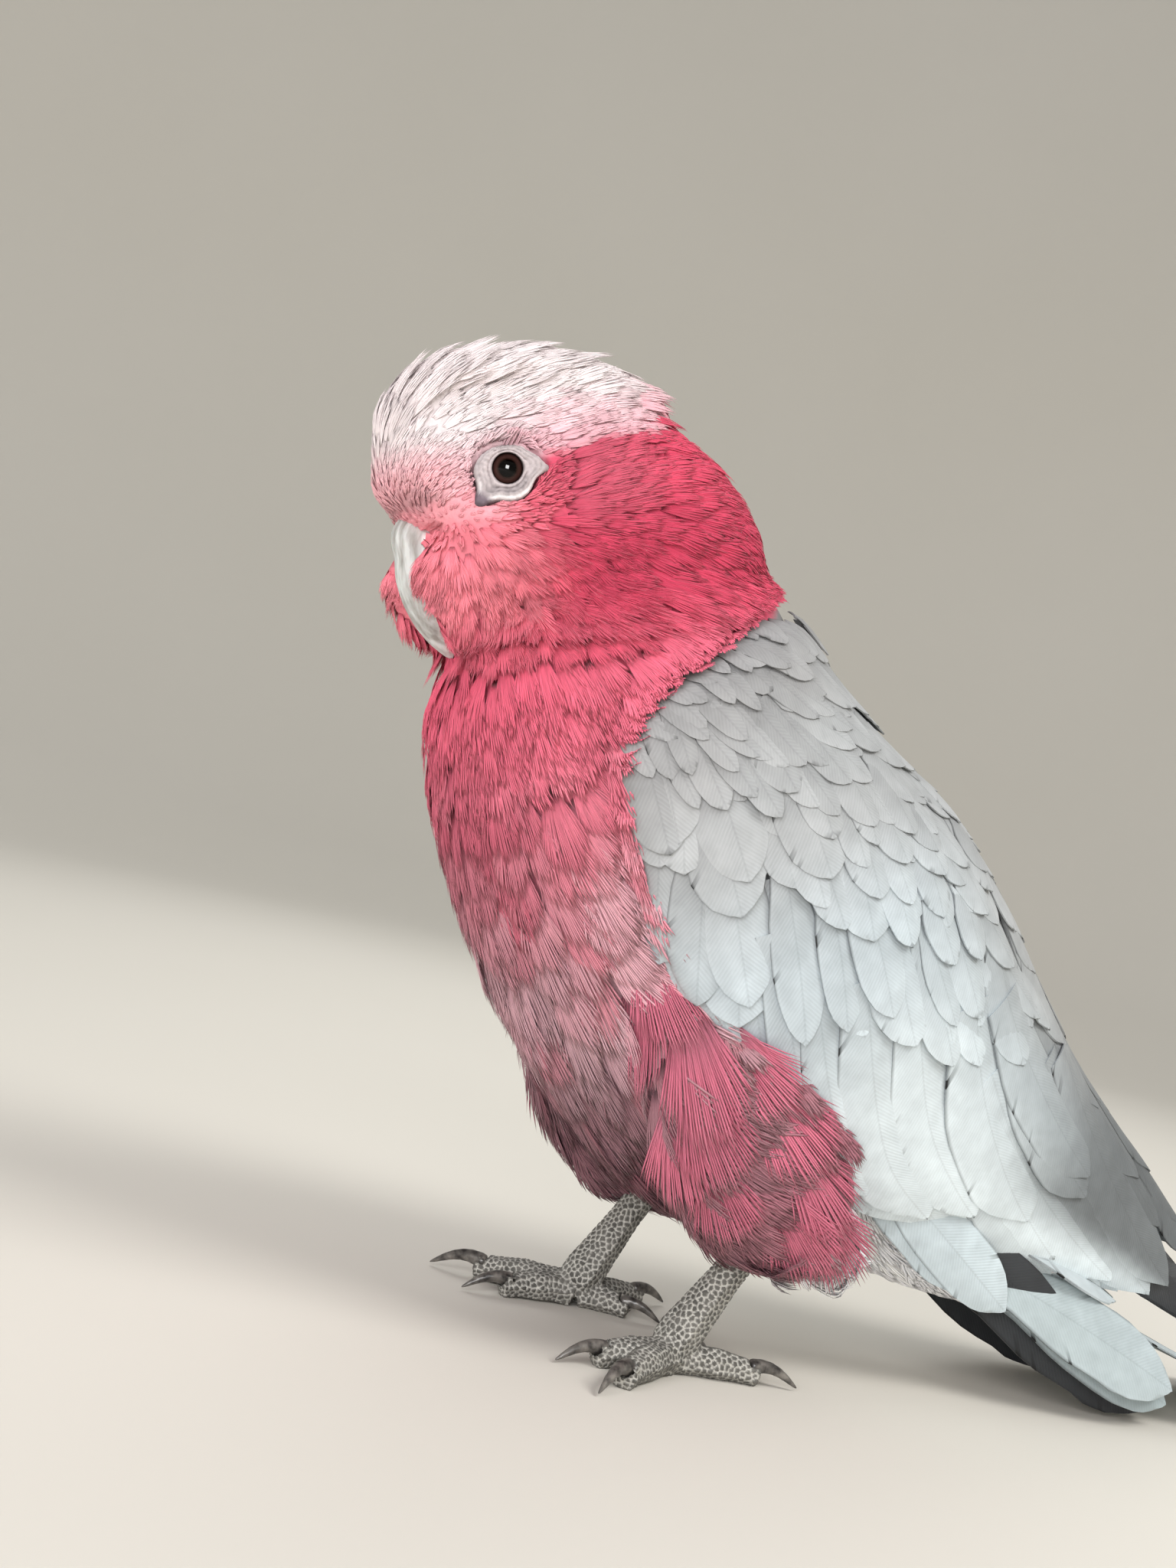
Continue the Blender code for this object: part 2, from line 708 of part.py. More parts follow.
def build_legs(wing_spaces):
    """Both legs, and the space that the trunk and the vent leave for them."""
    spaces = []
    for side, word in SIDES:
        new_object(f"shank_{word}", shank_mesh(side), "scaly")
        shank_space = tool(f"space_shank_{word}", shank_mesh(side, GAP))
        thigh = new_object(f"thigh_{word}", thigh_mesh(side), "rose")
        cut(thigh, shank_space, *wing_spaces)
        build_foot(side, word, shank_space)
        spaces += [tool(f"space_thigh_{word}", thigh_mesh(side, GAP)), shank_space]
    return spaces


def build_wings(head_spaces):
    """Both folded wings and their long flight feathers, and the space that they take."""
    spaces = []
    for side, word in SIDES:
        whole = wing_mesh(WING_STATIONS, side, WING_RINGS, SECONDARY_TIPS)
        cut(new_object(f"wing_{word}", whole, "grey"), *head_spaces)
        quills = wing_mesh(PRIMARY_STATIONS, side, PRIMARY_RINGS, 0)
        new_object(f"primaries_{word}", quills, "quill")
        space = wing_mesh(WING_STATIONS, side, WING_RINGS, SECONDARY_TIPS, GAP)
        spaces.append(tool(f"space_wing_{word}", space))
    return spaces


def build_tail(trunk_space, others):
    """The tail and the soft feathers under its root, which both start at the trunk."""
    tail = new_object("tail", tail_mesh(), "grey")
    coverts = new_object("tail_coverts", vent_mesh(), "grey")
    coverts_space = tool("space_tail_coverts", vent_mesh(GAP))
    cut(tail, trunk_space, coverts_space, *others)
    cut(coverts, trunk_space, *others)


def move_to_base_centre():
    """Moves the whole model so that the origin is under its middle, on the floor."""
    bpy.context.view_layer.update()
    graph = bpy.context.evaluated_depsgraph_get()
    corners = []
    for obj in bpy.context.scene.objects:
        if not obj.hide_render:
            mesh = obj.evaluated_get(graph).to_mesh()
            corners += [vertex.co.copy() for vertex in mesh.vertices]
            obj.evaluated_get(graph).to_mesh_clear()
    low = Vector([min(c[i] for c in corners) for i in range(3)])
    high = Vector([max(c[i] for c in corners) for i in range(3)])
    move = Vector((-(low.x + high.x) / 2, -(low.y + high.y) / 2, -low.z))
    for obj in bpy.context.scene.objects:
        obj.data.transform(Matrix.Translation(move))


def main():
    clear_scene()
    neck = trunk_part("neck", "rose", None, NECK_CUT)
    trunk = trunk_part("trunk", "rose", NECK_CUT, RUMP_CUT)
    rump = trunk_part("rump", "grey", RUMP_CUT, None)
    head_spaces = build_head()
    wing_spaces = build_wings(head_spaces)
    leg_spaces = build_legs(wing_spaces)
    cut(neck, *head_spaces, *wing_spaces)
    cut(trunk, *wing_spaces, *leg_spaces)
    cut(rump, *wing_spaces, *leg_spaces)
    build_tail(tool("space_trunk", trunk_mesh(GAP)), leg_spaces + wing_spaces)
    move_to_base_centre()


if __name__ == "__main__":
    main()
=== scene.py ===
"""Looks of a life-size galah: skin, coat, flight feathers, bare parts and a plain studio.

The bird faces -Y and its left side is at +X. Shapes are worked out in mm from a point on
the floor between the feet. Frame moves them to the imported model's place and to metres.
"""

import logging
import math
from dataclasses import dataclass, field
from enum import Enum
from typing import Callable, Iterable, Optional, Sequence

import bmesh
import bpy
import numpy as np
from mathutils import Matrix, Vector, noise
from mathutils.bvhtree import BVHTree
from mathutils.kdtree import KDTree


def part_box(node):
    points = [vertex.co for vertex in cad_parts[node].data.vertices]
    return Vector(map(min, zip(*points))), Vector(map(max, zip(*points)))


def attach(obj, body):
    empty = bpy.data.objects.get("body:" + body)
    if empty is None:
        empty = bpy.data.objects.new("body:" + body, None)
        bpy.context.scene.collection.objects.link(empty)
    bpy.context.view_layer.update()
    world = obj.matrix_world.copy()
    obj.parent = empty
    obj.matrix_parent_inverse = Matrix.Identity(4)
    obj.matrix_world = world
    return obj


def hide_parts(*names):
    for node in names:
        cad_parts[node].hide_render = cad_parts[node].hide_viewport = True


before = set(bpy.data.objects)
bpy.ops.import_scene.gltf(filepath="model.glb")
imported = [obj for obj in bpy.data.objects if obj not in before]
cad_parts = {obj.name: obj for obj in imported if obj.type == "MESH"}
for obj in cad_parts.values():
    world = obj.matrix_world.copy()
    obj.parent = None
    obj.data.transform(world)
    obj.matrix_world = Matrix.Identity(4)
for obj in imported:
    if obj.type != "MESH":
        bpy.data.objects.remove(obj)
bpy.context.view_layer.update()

log = logging.getLogger("galah")

Array = np.ndarray
Place = tuple[float, float, float]
Mesh = bpy.types.Mesh
Node = bpy.types.Node
Piece = bpy.types.Object
Shape = bmesh.types.BMesh
Socket = bpy.types.NodeSocket
Tree = bpy.types.NodeTree

MM = 0.001
SIDES = ((1, "left"), (-1, "right"))


class Slot(Enum):
    """Names of material slots, which nothing in this script uses."""

    BREAST = "breast_feathers"
    CROWN = "crown_feathers"
    WING = "wing_feathers"
    FLIGHT = "flight_feathers"
    BILL = "bill_horn"
    LEG = "leg_skin"
    CLAW = "claw_horn"
    EYE = "eyeball"
    LID = "bare_eye_skin"


class Zone(Enum):
    """Parts of the coat, each a piece of its own."""

    CROWN = "crown"
    FACE = "face"
    CHEEK = "cheek"
    EAR = "ear"
    NECK = "neck"
    BREAST = "breast"
    BELLY = "belly"
    FLANK = "flank"
    FRINGE = "fringe"
    VENT = "vent"


# --- small numeric helpers


def srgb(code: str) -> Array:
    """Turn six sRGB hex digits into linear red, green and blue from 0 to 1."""
    parts = np.array([int(code[i : i + 2], 16) for i in (0, 2, 4)]) / 255
    return np.where(parts <= 0.04045, parts / 12.92, ((parts + 0.055) / 1.055) ** 2.4)


def ease(low: float, high: float, value: Array) -> Array:
    """Rise smoothly from 0 at low to 1 at high, which may be below low."""
    share = np.clip((value - low) / (high - low), 0, 1)
    return share * share * (3 - 2 * share)


def unit(vectors: Array) -> Array:
    """Scale each row to length 1."""
    return vectors / np.maximum(np.linalg.norm(vectors, axis=-1, keepdims=True), 1e-9)


def flatten_to(vectors: Array, normals: Array) -> Array:
    """Turn directions into unit tangents, square to the unit normals."""
    return unit(vectors - normals * np.sum(vectors * normals, axis=1, keepdims=True))


def mix(one: Array, two: Array, share: Array) -> Array:
    """Blend two colours or two rows of colours by a share for each row."""
    return one + (two - one) * np.asarray(share)[..., None]


def layered(colour: Array, *layers: tuple[str, Array]) -> Array:
    """Lay colours over a colour, each given by its hex code and its share for each row."""
    for code, share in layers:
        colour = mix(colour, srgb(code), share)
    return colour


def smooth_rows(rows: Iterable[tuple], count: int) -> Array:
    """Sample a smooth curve through rows of numbers.

    Args:
        rows: The stations that the curve goes through.
        count: How many samples to take, evenly by station.

    Returns:
        An array of samples, one in a row.
    """
    table = np.array(list(rows), float)
    place = np.linspace(0, len(table) - 1, count)
    first = np.minimum(place.astype(int), len(table) - 2)
    t = (place - first)[:, None]
    a, b, c, d = (table[np.clip(first + k, 0, len(table) - 1)] for k in (-1, 0, 1, 2))
    square, cube = 2 * a - 5 * b + 4 * c - d, 3 * b - a - 3 * c + d
    return (2 * b + (c - a) * t + square * t**2 + cube * t**3) / 2


def grain(points: Array, size: float, seed: float = 0.0) -> Array:
    """Soft noise from -1 to 1 at points, in patches of size mm; seed moves the pattern."""
    return np.array([noise.noise(Vector(p) / size + Vector((seed, seed, seed))) for p in points])


# --- the shared frame


@dataclass(frozen=True)
class Frame:
    """Moves mm on the bird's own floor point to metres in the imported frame."""

    eye_middle: Place = (15.75, -79.915, 169.65)

    def shift(self) -> Array:
        """Millimetres from the bird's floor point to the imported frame's origin."""
        low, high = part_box("eye_left")
        return np.array((low + high) / 2) / MM - np.array(self.eye_middle)

    def metres(self, points: Array) -> Array:
        """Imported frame, in metres, of points in mm."""
        return (np.asarray(points) + self.shift()) * MM

    def millimetres(self, points: Array) -> Array:
        """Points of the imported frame, in mm from the floor point."""
        return np.asarray(points) / MM - self.shift()


FRAME = Frame()


def corners_of(made: Shape) -> Array:
    """Places of a bmesh's vertices, one in a row."""
    return np.array([v.co for v in made.verts])


def move(made: Shape, places: Array) -> None:
    """Put each vertex of a bmesh in its new place."""
    for vertex, place in zip(made.verts, places):
        vertex.co = place


def as_mesh(made: Shape, name: str) -> Mesh:
    """Turn a bmesh into a mesh.

    Args:
        made: The bmesh, which is freed.
        name: The mesh's name.

    Returns:
        The mesh.
    """
    mesh = bpy.data.meshes.new(name)
    made.to_mesh(mesh)
    made.free()
    return mesh


def as_arrays(made: Shape) -> tuple[Array, Array]:
    """Read a bmesh of triangles.

    Args:
        made: The bmesh, which is freed.

    Returns:
        Its points and its triangles.
    """
    made.verts.index_update()
    points, faces = corners_of(made), np.array([[v.index for v in f.verts] for f in made.faces])
    made.free()
    return points, faces


def read(items: Sequence, name: str, width: int, kind: type = float) -> Array:
    """Read one field of a mesh's elements.

    Args:
        items: The vertices, edges or loops.
        name: The field.
        width: How many numbers each element has.
        kind: The type of number.

    Returns:
        The field, one element in a row.
    """
    values = np.zeros(len(items) * width, kind)
    items.foreach_get(name, values)
    return values.reshape(-1, width)


def node_copy(name: str) -> Shape:
    """Copy a CAD node's mesh, merged into one surface, in mm.

    Args:
        name: The node.

    Returns:
        A bmesh that the caller frees.
    """
    made = bmesh.new()
    made.from_mesh(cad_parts[name].data)
    bmesh.ops.remove_doubles(made, verts=made.verts, dist=1e-6)
    bmesh.ops.recalc_face_normals(made, faces=made.faces)
    move(made, FRAME.millimetres(corners_of(made)))
    return made


def node_tree(name: str) -> BVHTree:
    """Make the search tree of a CAD node's surface.

    Args:
        name: The node.

    Returns:
        The tree, in mm.
    """
    part = node_copy(name)
    tree = BVHTree.FromBMesh(part)
    part.free()
    return tree


def finder_of(points: Sequence[Array]) -> KDTree:
    """Make a finder of the nearest among points.

    Args:
        points: The points; each hit gives its number among them.

    Returns:
        The finder.
    """
    finder = KDTree(len(points))
    for number, point in enumerate(points):
        finder.insert(point, number)
    finder.balance()
    return finder


def new_piece(name: str, mesh: Mesh) -> Piece:
    """Put a mesh in the scene as an object at the origin."""
    piece = bpy.data.objects.new(name, mesh)
    bpy.context.scene.collection.objects.link(piece)
    return piece


def remade(mesh: Mesh, steps: Iterable[tuple[str, dict]]) -> Mesh:
    """Run a mesh through modifiers.

    Args:
        mesh: The mesh.
        steps: Each modifier's type and its settings.

    Returns:
        The finished mesh, with no modifier left on it.
    """
    lump = new_piece("step", mesh)
    for kind, settings in steps:
        modifier = lump.modifiers.new(kind, kind)
        for name, value in settings.items():
            setattr(modifier, name, value)
    graph = bpy.context.evaluated_depsgraph_get()
    done = bpy.data.meshes.new_from_object(lump.evaluated_get(graph))
    bpy.data.objects.remove(lump)
    return done


def piece_from_bmesh(name: str, made: Shape, smooth_angle: float = 60) -> Piece:
    """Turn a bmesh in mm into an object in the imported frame.

    Args:
        name: The piece's name.
        made: Its bmesh, which is freed.
        smooth_angle: Edges sharper than this many degrees stay sharp.

    Returns:
        The object.
    """
    move(made, FRAME.metres(corners_of(made)))
    mesh = as_mesh(made, name)
    mesh.shade_smooth()
    mesh.set_sharp_from_angle(angle=math.radians(smooth_angle))
    return new_piece(name, mesh)


def paint(mesh: Mesh, colours: Array) -> None:
    """Store one linear colour for each vertex, which the finishes read as the marking.

    Args:
        mesh: The mesh.
        colours: One in a row.
    """
    layer = mesh.color_attributes.new("Marking", "FLOAT_COLOR", "POINT")
    rows = np.ones((len(colours), 4), np.float32)
    rows[:, :3] = np.clip(colours, 0, 1)
    layer.data.foreach_set("color", rows.ravel())


def joined_mesh(name: str, points: Array, faces: Array) -> Mesh:
    """Build one smooth-shaded mesh from arrays.

    Args:
        name: The mesh's name.
        points: Vertices in mm.
        faces: Rows of three or of four vertex numbers.

    Returns:
        The mesh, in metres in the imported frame.
    """
    mesh = bpy.data.meshes.new(name)
    mesh.vertices.add(len(points))
    mesh.vertices.foreach_set("co", FRAME.metres(points).astype(np.float32).ravel())
    mesh.loops.add(faces.size)
    mesh.loops.foreach_set("vertex_index", faces.astype(np.int32).ravel())
    mesh.polygons.add(len(faces))
    mesh.polygons.foreach_set("loop_start", np.arange(0, faces.size, faces.shape[1], dtype=np.int32))
    mesh.polygons.foreach_set("use_smooth", np.ones(len(faces), bool))
    mesh.update(calc_edges=True)
    return mesh


def add_uv(mesh: Mesh, name: str, places: Array) -> None:
    """Store a UV map.

    Args:
        mesh: The mesh.
        name: The map's name.
        places: One place for each vertex.
    """
    layer = mesh.uv_layers.new(name=name)
    corners = read(mesh.loops, "vertex_index", 1, np.int32)[:, 0]
    layer.data.foreach_set("uv", places[corners].astype(np.float32).ravel())


# --- the body's own directions


@dataclass(frozen=True)
class HeadSpace:
    """The head's level frame, with its origin between the eyes."""

    centre: Place = (0, -69.6, 170)
    pitch: float = 20

    def inward(self, points: Array) -> Array:
        """Points of the bird in the head's frame."""
        return (points - np.array(self.centre)) @ self.turn()

    def outward(self, points: Array) -> Array:
        """Points of the head's frame on the bird."""
        return points @ self.turn().T + np.array(self.centre)

    def turn(self) -> Array:
        """Matrix whose columns are the head's axes."""
        return np.array(Matrix.Rotation(math.radians(self.pitch), 3, "X"))


HEAD = HeadSpace()


@dataclass(frozen=True)
class WingChart:
    """A folded wing's outer face: s mm along it and a degrees round from the back.

    Stations are (y, z, slope, half width, height above the axis, angle of the lower edge), as the
    wing and the long flight feathers have in the frame.
    """

    stations: tuple[tuple[float, ...], ...] = (
        (-45, 137, 50, 30, 36, 100), (-39, 131, 48, 38.5, 42, 113), (-27.5, 116.5, 46, 43.5, 45, 120),
        (-14, 101.5, 45, 46, 50, 122), (1, 88, 43, 46, 54, 119), (17, 74, 41, 43, 54.5, 116),
        (34, 63, 39, 37, 50, 121), (52, 56, 37, 31, 41.5, 127), (70, 49.5, 35, 25, 33.5, 129),
        (88, 43, 34, 19.5, 27, 127), (102, 38, 33, 15, 22.5, 118), (124, 29.5, 31, 8.8, 15, 97),
        (142, 22.6, 29, 6.6, 10.6, 101), (158, 16.8, 27, 5, 6.4, 104), (170, 12.6, 24, 4.2, 2.6, 104),
    )

    def table(self) -> Array:
        """Fine samples of the stations, with s in front of each."""
        rows = smooth_rows(self.stations, 141)
        steps = np.linalg.norm(np.diff(rows[:, :2], axis=0), axis=1)
        return np.column_stack([np.append(0, np.cumsum(steps)), rows])

    def values(self, s: Array) -> list[Array]:
        """Read the chart, past its ends too.

        Args:
            s: Places along the wing.

        Returns:
            y, z, slope, half width, height and lower angle there.
        """
        rows = CHART_TABLE
        found = [np.interp(s, rows[:, 0], rows[:, k]) for k in range(1, 7)]
        for end, beyond in ((0, np.minimum(s - rows[0, 0], 0)), (-1, np.maximum(s - rows[-1, 0], 0))):
            slope = math.radians(rows[end, 3])
            found[0] = found[0] + beyond * math.cos(slope)
            found[1] = found[1] - beyond * math.sin(slope)
        return found

    def at(self, s: Array, a: Array, high: Array, side: int) -> Array:
        """Points on the wing.

        Args:
            s: Millimetres along the wing from its front.
            a: Degrees round from the middle of the back.
            high: Millimetres above the wing's outer face.
            side: 1 for the left wing and -1 for the right.

        Returns:
            Points in mm.
        """
        y, z, slope, half, height, _ = self.values(s)
        slope, angle = np.radians(slope), np.radians(a)
        rise = (height + high) * np.cos(angle)
        out = side * (half + high) * np.sin(angle)
        return np.stack([out, y + rise * np.sin(slope), z + rise * np.cos(slope)], axis=-1)

    def round_radius(self, s: Array, a: Array) -> Array:
        """Millimetres of travel for each radian of a."""
        half, height = self.values(s)[3:5]
        return np.maximum(np.hypot(half * np.cos(np.radians(a)), height * np.sin(np.radians(a))), 4)

    def locate(self, points: Array) -> tuple[Array, Array, Array]:
        """Find places on the chart.

        Args:
            points: Any points near the body.

        Returns:
            s, a and the distance from the axis.
        """
        rows = CHART_TABLE
        slope = np.radians(rows[:, 3])
        dy = points[:, 1:2] - rows[None, :, 1]
        dz = points[:, 2:3] - rows[None, :, 2]
        along = dy * np.cos(slope) - dz * np.sin(slope)
        best = np.argmin(np.abs(along) + 0.05 * np.hypot(dy, dz), axis=1)
        pick = np.arange(len(points))
        s = rows[best, 0] + along[pick, best] * ((best == 0) | (best == len(rows) - 1))
        rise = dy[pick, best] * np.sin(slope[best]) + dz[pick, best] * np.cos(slope[best])
        a = np.degrees(np.arctan2(points[:, 0], rise))
        return s, a, np.hypot(points[:, 0], rise)

    def axis(self, s: Array) -> Array:
        """Unit vectors along the body towards the tail."""
        slope = np.radians(self.values(s)[2])
        return np.stack([np.zeros_like(slope), np.cos(slope), -np.sin(slope)], axis=-1)


CHART = WingChart()
CHART_TABLE = CHART.table()


# --- markings


@dataclass(frozen=True)
class Plumage:
    """Colours of the coat and where they lie, for skin and feathers alike."""

    white: str = "E6DBDB"
    blush: str = "E9B4BD"
    lore: str = "F4B9BF"
    cere: str = "C08B90"
    coral: str = "F58A98"
    rose: str = "D64A66"
    deep: str = "C53E5B"
    streak: str = "CC5A70"
    ruff: str = "E2607A"
    breast: str = "E67188"
    # belly is partly the bird's own rose and partly painted shade of the underside, where less light falls.
    dusky: str = "E8BAC3"
    belly: str = "8E5F68"
    flank: str = "B47381"
    vent: str = "FAFAFD"
    rump: str = "BFC3C6"
    lesser: str = "9E9E9E"
    covert: str = "AFB2B3"
    great: str = "C2CDD2"
    vane: str = "E2EDF1"
    tertial: str = "6E7375"

    def crown_line(self, y: Array) -> Array:
        """Height of the white crown's lower edge in the head's frame."""
        return np.interp(y, (-32, -22, -12, -3, 8, 20, 30, 42), (-4, -2, 1, 4.4, 7, 6.8, 10.5, 14))

    def head(self, points: Array) -> Array:
        """Colours of the head and the upper neck.

        Args:
            points: Points in mm.

        Returns:
            Linear colours, one in a row.
        """
        _, y, z = HEAD.inward(points).T
        soft = grain(points, 5) * 1.6 + grain(points, 2.2, 7) * 0.8
        over = z - self.crown_line(y)
        front = ease(-14, -24, y) * ease(13, 0, z)
        pale = layered(
            srgb(self.blush),
            (self.white, ease(1, 15, over + soft * 1.5)),
            (self.lore, np.clip(front * 1.1 + 0.12 * soft * front, 0, 1)),
            (self.cere, ease(5.5, 2, np.hypot(y + 27, z + 2.5)) * 0.7),
        )
        low = layered(
            srgb(self.coral),
            (self.rose, ease(-16, 2, y + soft * 2)),
            (self.streak, ease(-6, 4, y) * ease(26, 12, y) * ease(-15, -4, z) * 0.8),
            (self.deep, ease(-4, 10, y) * ease(-2, -14, z) * ease(-32, -18, z) * 0.8),
            (self.ruff, ease(-24, -31, z) * 0.8),
            (self.lore, ease(-7, -15, y) * ease(-9, -4, z) * 0.55),
        )
        # Painted shade and light: the front cheek turns darker and lighter in clumps, standing in for the
        # shade between ruffled clumps and the light on them.
        clump_shade = grain(points * np.array([1, 1, 0.6]), 3.2, 21) * ease(8, -4, y) * ease(-4, -9, z)
        low = low * (1 + 0.2 * np.clip(clump_shade, -1, 0.6))[:, None]
        return mix(low, pale, ease(-0.6, 1.6, over + soft * 0.7))

    def body(self, points: Array) -> Array:
        """Colours of the breast, belly, flanks, vent and back.

        Args:
            points: Points in mm.

        Returns:
            Linear colours, one in a row.
        """
        s, a, _ = CHART.locate(points)
        a = np.abs(a)
        soft = grain(points, 9) + 0.6 * grain(points, 4, 3)
        patch = ease(-0.1, 0.5, grain(points, 7.5, 11))
        colour = layered(
            srgb(self.ruff),
            (self.breast, ease(-14, 8, s)),
            (self.dusky, ease(4, 54, s + soft * 12) * (1.0 - 0.55 * patch)),
            # The belly's share carries painted shade of the underside as well as its own colour.
            (self.belly, ease(52, 84, s) * 0.85),
        )
        # Painted shade: the breast darkens towards its lower front, away from the light.
        colour = colour * (1 - 0.3 * ease(130, 164, a) * ease(-10, 16, s))[:, None]
        low = ease(75, 105, s) * ease(155, 128, a)
        return layered(
            colour,
            (self.flank, np.clip(low * (0.35 + 0.5 * patch), 0, 1)),
            (self.vent, ease(112, 126, s) * ease(60, 90, a)),
            (self.rump, ease(12, 20, s) * ease(102, 90, a)),
        )

    def wing(self, s: Array, a: Array) -> Array:
        """Colours of the folded wing: darker at the front and top, palest at its lower edge.

        Args:
            s: Places along the wing.
            a: Degrees round it.

        Returns:
            Linear colours, one in a row.
        """
        soft = np.array([noise.noise(Vector((x / 14, y / 16, 2))) for x, y in zip(s, a)])
        return layered(
            srgb(self.lesser),
            (self.covert, ease(6, 34, s + 6 * soft)),
            (self.great, ease(34, 66, s + 0.22 * (a - 90)) * ease(28, 76, a)),
            (self.vane, ease(70, 100, s) * ease(60, 92, a)),
            (self.tertial, ease(112, 168, s) * ease(108, 84, a)),
        )

    def skin(self, points: Array) -> Array:
        """Colours of the whole skin, the same as the coat's above it.

        Args:
            points: Points in mm.

        Returns:
            Linear colours, one in a row.
        """
        s, a, r = CHART.locate(points)
        on_head = ease(-34, -29, HEAD.inward(points)[:, 2]) * ease(6, 0, s)
        colour = mix(self.body(points), self.head(points), on_head)
        half, height, lower = CHART.values(s)[3:]
        angle = np.radians(np.abs(a))
        shell = half * height / np.hypot(height * np.sin(angle), half * np.cos(angle))
        on_wing = ease(-5, -3, r - shell) * ease(3, 0, np.abs(a) - lower) * ease(2, 5, s)
        return mix(colour, self.wing(s, np.abs(a)) * 0.8, on_wing)


PLUMAGE = Plumage()


# --- finishes


def add_node(tree: Tree, kind: str, settings: Optional[dict] = None, out: str | int = 0) -> Socket:
    """Add a shader node with its settings and links.

    Args:
        tree: The node tree.
        kind: The node's type, without the word ShaderNode.
        settings: Values by input name or number, by property name, or the stops of a colour ramp
            as (place, colour). An input whose value is a socket is linked to it.
        out: Which of its outputs is wanted.

    Returns:
        That output.
    """
    node = tree.nodes.new(f"ShaderNode{kind}")
    for name, value in (settings or {}).items():
        if name == "stops":
            for stop, (place, code) in zip(node.color_ramp.elements, value):
                stop.position, stop.color = place, (*srgb(code), 1)
        elif isinstance(value, Socket):
            tree.links.new(value, node.inputs[name])
        elif isinstance(name, int) or name in node.inputs:
            node.inputs[name].default_value = value
        else:
            setattr(node, name, value)
    return node.outputs[out]


@dataclass(frozen=True)
class Finish:
    """A Principled surface whose colour and relief a recipe draws with nodes."""

    name: str
    roughness: float = 0.6
    specular: float = 0.4
    ior: float = 1.5
    sheen: float = 0.0
    subsurface: float = 0.0
    recipe: Optional[Callable[[Tree, Node], None]] = None

    def made(self) -> bpy.types.Material:
        """The material, built the first time that it is asked for.

        Returns:
            The material.
        """
        found = bpy.data.materials.get(self.name)
        if found:
            return found
        material = bpy.data.materials.new(self.name)
        material.use_nodes = True
        shader = material.node_tree.nodes["Principled BSDF"]
        sockets = {
            "Roughness": self.roughness,
            "Specular IOR Level": self.specular,
            "IOR": self.ior,
            "Sheen Weight": self.sheen,
            "Sheen Roughness": 0.5,
            "Subsurface Weight": self.subsurface,
            "Subsurface Scale": 1.5 * MM,
        }
        for name, value in sockets.items():
            shader.inputs[name].default_value = value
        if self.recipe:
            self.recipe(material.node_tree, shader)
        return material


def mottle(tree: Tree, scale: float, detail: float) -> Socket:
    """Cloudy noise on object coordinates, with so many patches to a metre."""
    place = add_node(tree, "TexCoord", out="Object")
    return add_node(tree, "TexNoise", {"Vector": place, "Scale": scale, "Detail": detail})


def marking_times(tree: Tree, shader: Node, pattern: Socket, low: float, high: float) -> None:
    """Feed the shader the marking colour, darkened and lightened by a pattern.

    Args:
        tree: The node tree.
        shader: Its Principled shader.
        pattern: A value from 0 to 1.
        low: Brightness where the pattern is 0.
        high: Brightness where it is 1.
    """
    marking = add_node(tree, "Attribute", {"attribute_name": "Marking"}, "Color")
    level = add_node(tree, "MapRange", {"Value": pattern, "To Min": low, "To Max": high})
    scaled = add_node(tree, "VectorMath", {"operation": "MULTIPLY", 0: marking, 1: level})
    tree.links.new(scaled, shader.inputs["Base Color"])


def toned(tree: Tree, shader: Node, pattern: Socket, stops: tuple[tuple[float, str], ...]) -> None:
    """Colour the shader by a pattern, from the first stop's colour to the last one's."""
    colour = add_node(tree, "ValToRGB", {"Fac": pattern, "stops": stops})
    tree.links.new(colour, shader.inputs["Base Color"])


def bumped(tree: Tree, shader: Node, height: Socket, strength: float, reach: float) -> None:
    """Give the shader a relief from a pattern: strength is the share that shows, reach is in mm."""
    relief = add_node(tree, "Bump", {"Strength": strength, "Distance": reach * MM, "Height": height})
    tree.links.new(relief, shader.inputs["Normal"])


def barb_recipe(tree: Tree, shader: Node) -> None:
    """Contour feathers: loose soft barbs, so each tuft is matt with fine strands along it.

    Strands are drawn 0.5 mm apart, about twice the real spacing of barbs, so that they show.

    Args:
        tree: The node tree.
        shader: Its Principled shader.
    """
    place = add_node(tree, "UVMap", {"uv_map": "Strand"})
    drawn = add_node(tree, "Mapping", {"Vector": place, "Scale": (2.2, 0.16, 1.0)})
    strand = add_node(tree, "TexNoise", {"Vector": drawn, "Scale": 1.0, "Detail": 2.5})
    sharp = add_node(tree, "MapRange", {"Value": strand, "From Min": 0.3, "From Max": 0.7})
    marking_times(tree, shader, sharp, 0.82, 1.14)
    bumped(tree, shader, strand, 0.4, 0.3)


def down_recipe(tree: Tree, shader: Node) -> None:
    """Down next to the skin: matt, darker than the coat over it, in mottles of 1.4 mm."""
    marking_times(tree, shader, mottle(tree, 700.0, 3.0), 0.8, 1.06)
    bumped(tree, shader, mottle(tree, 700.0, 3.0), 0.6, 0.6)


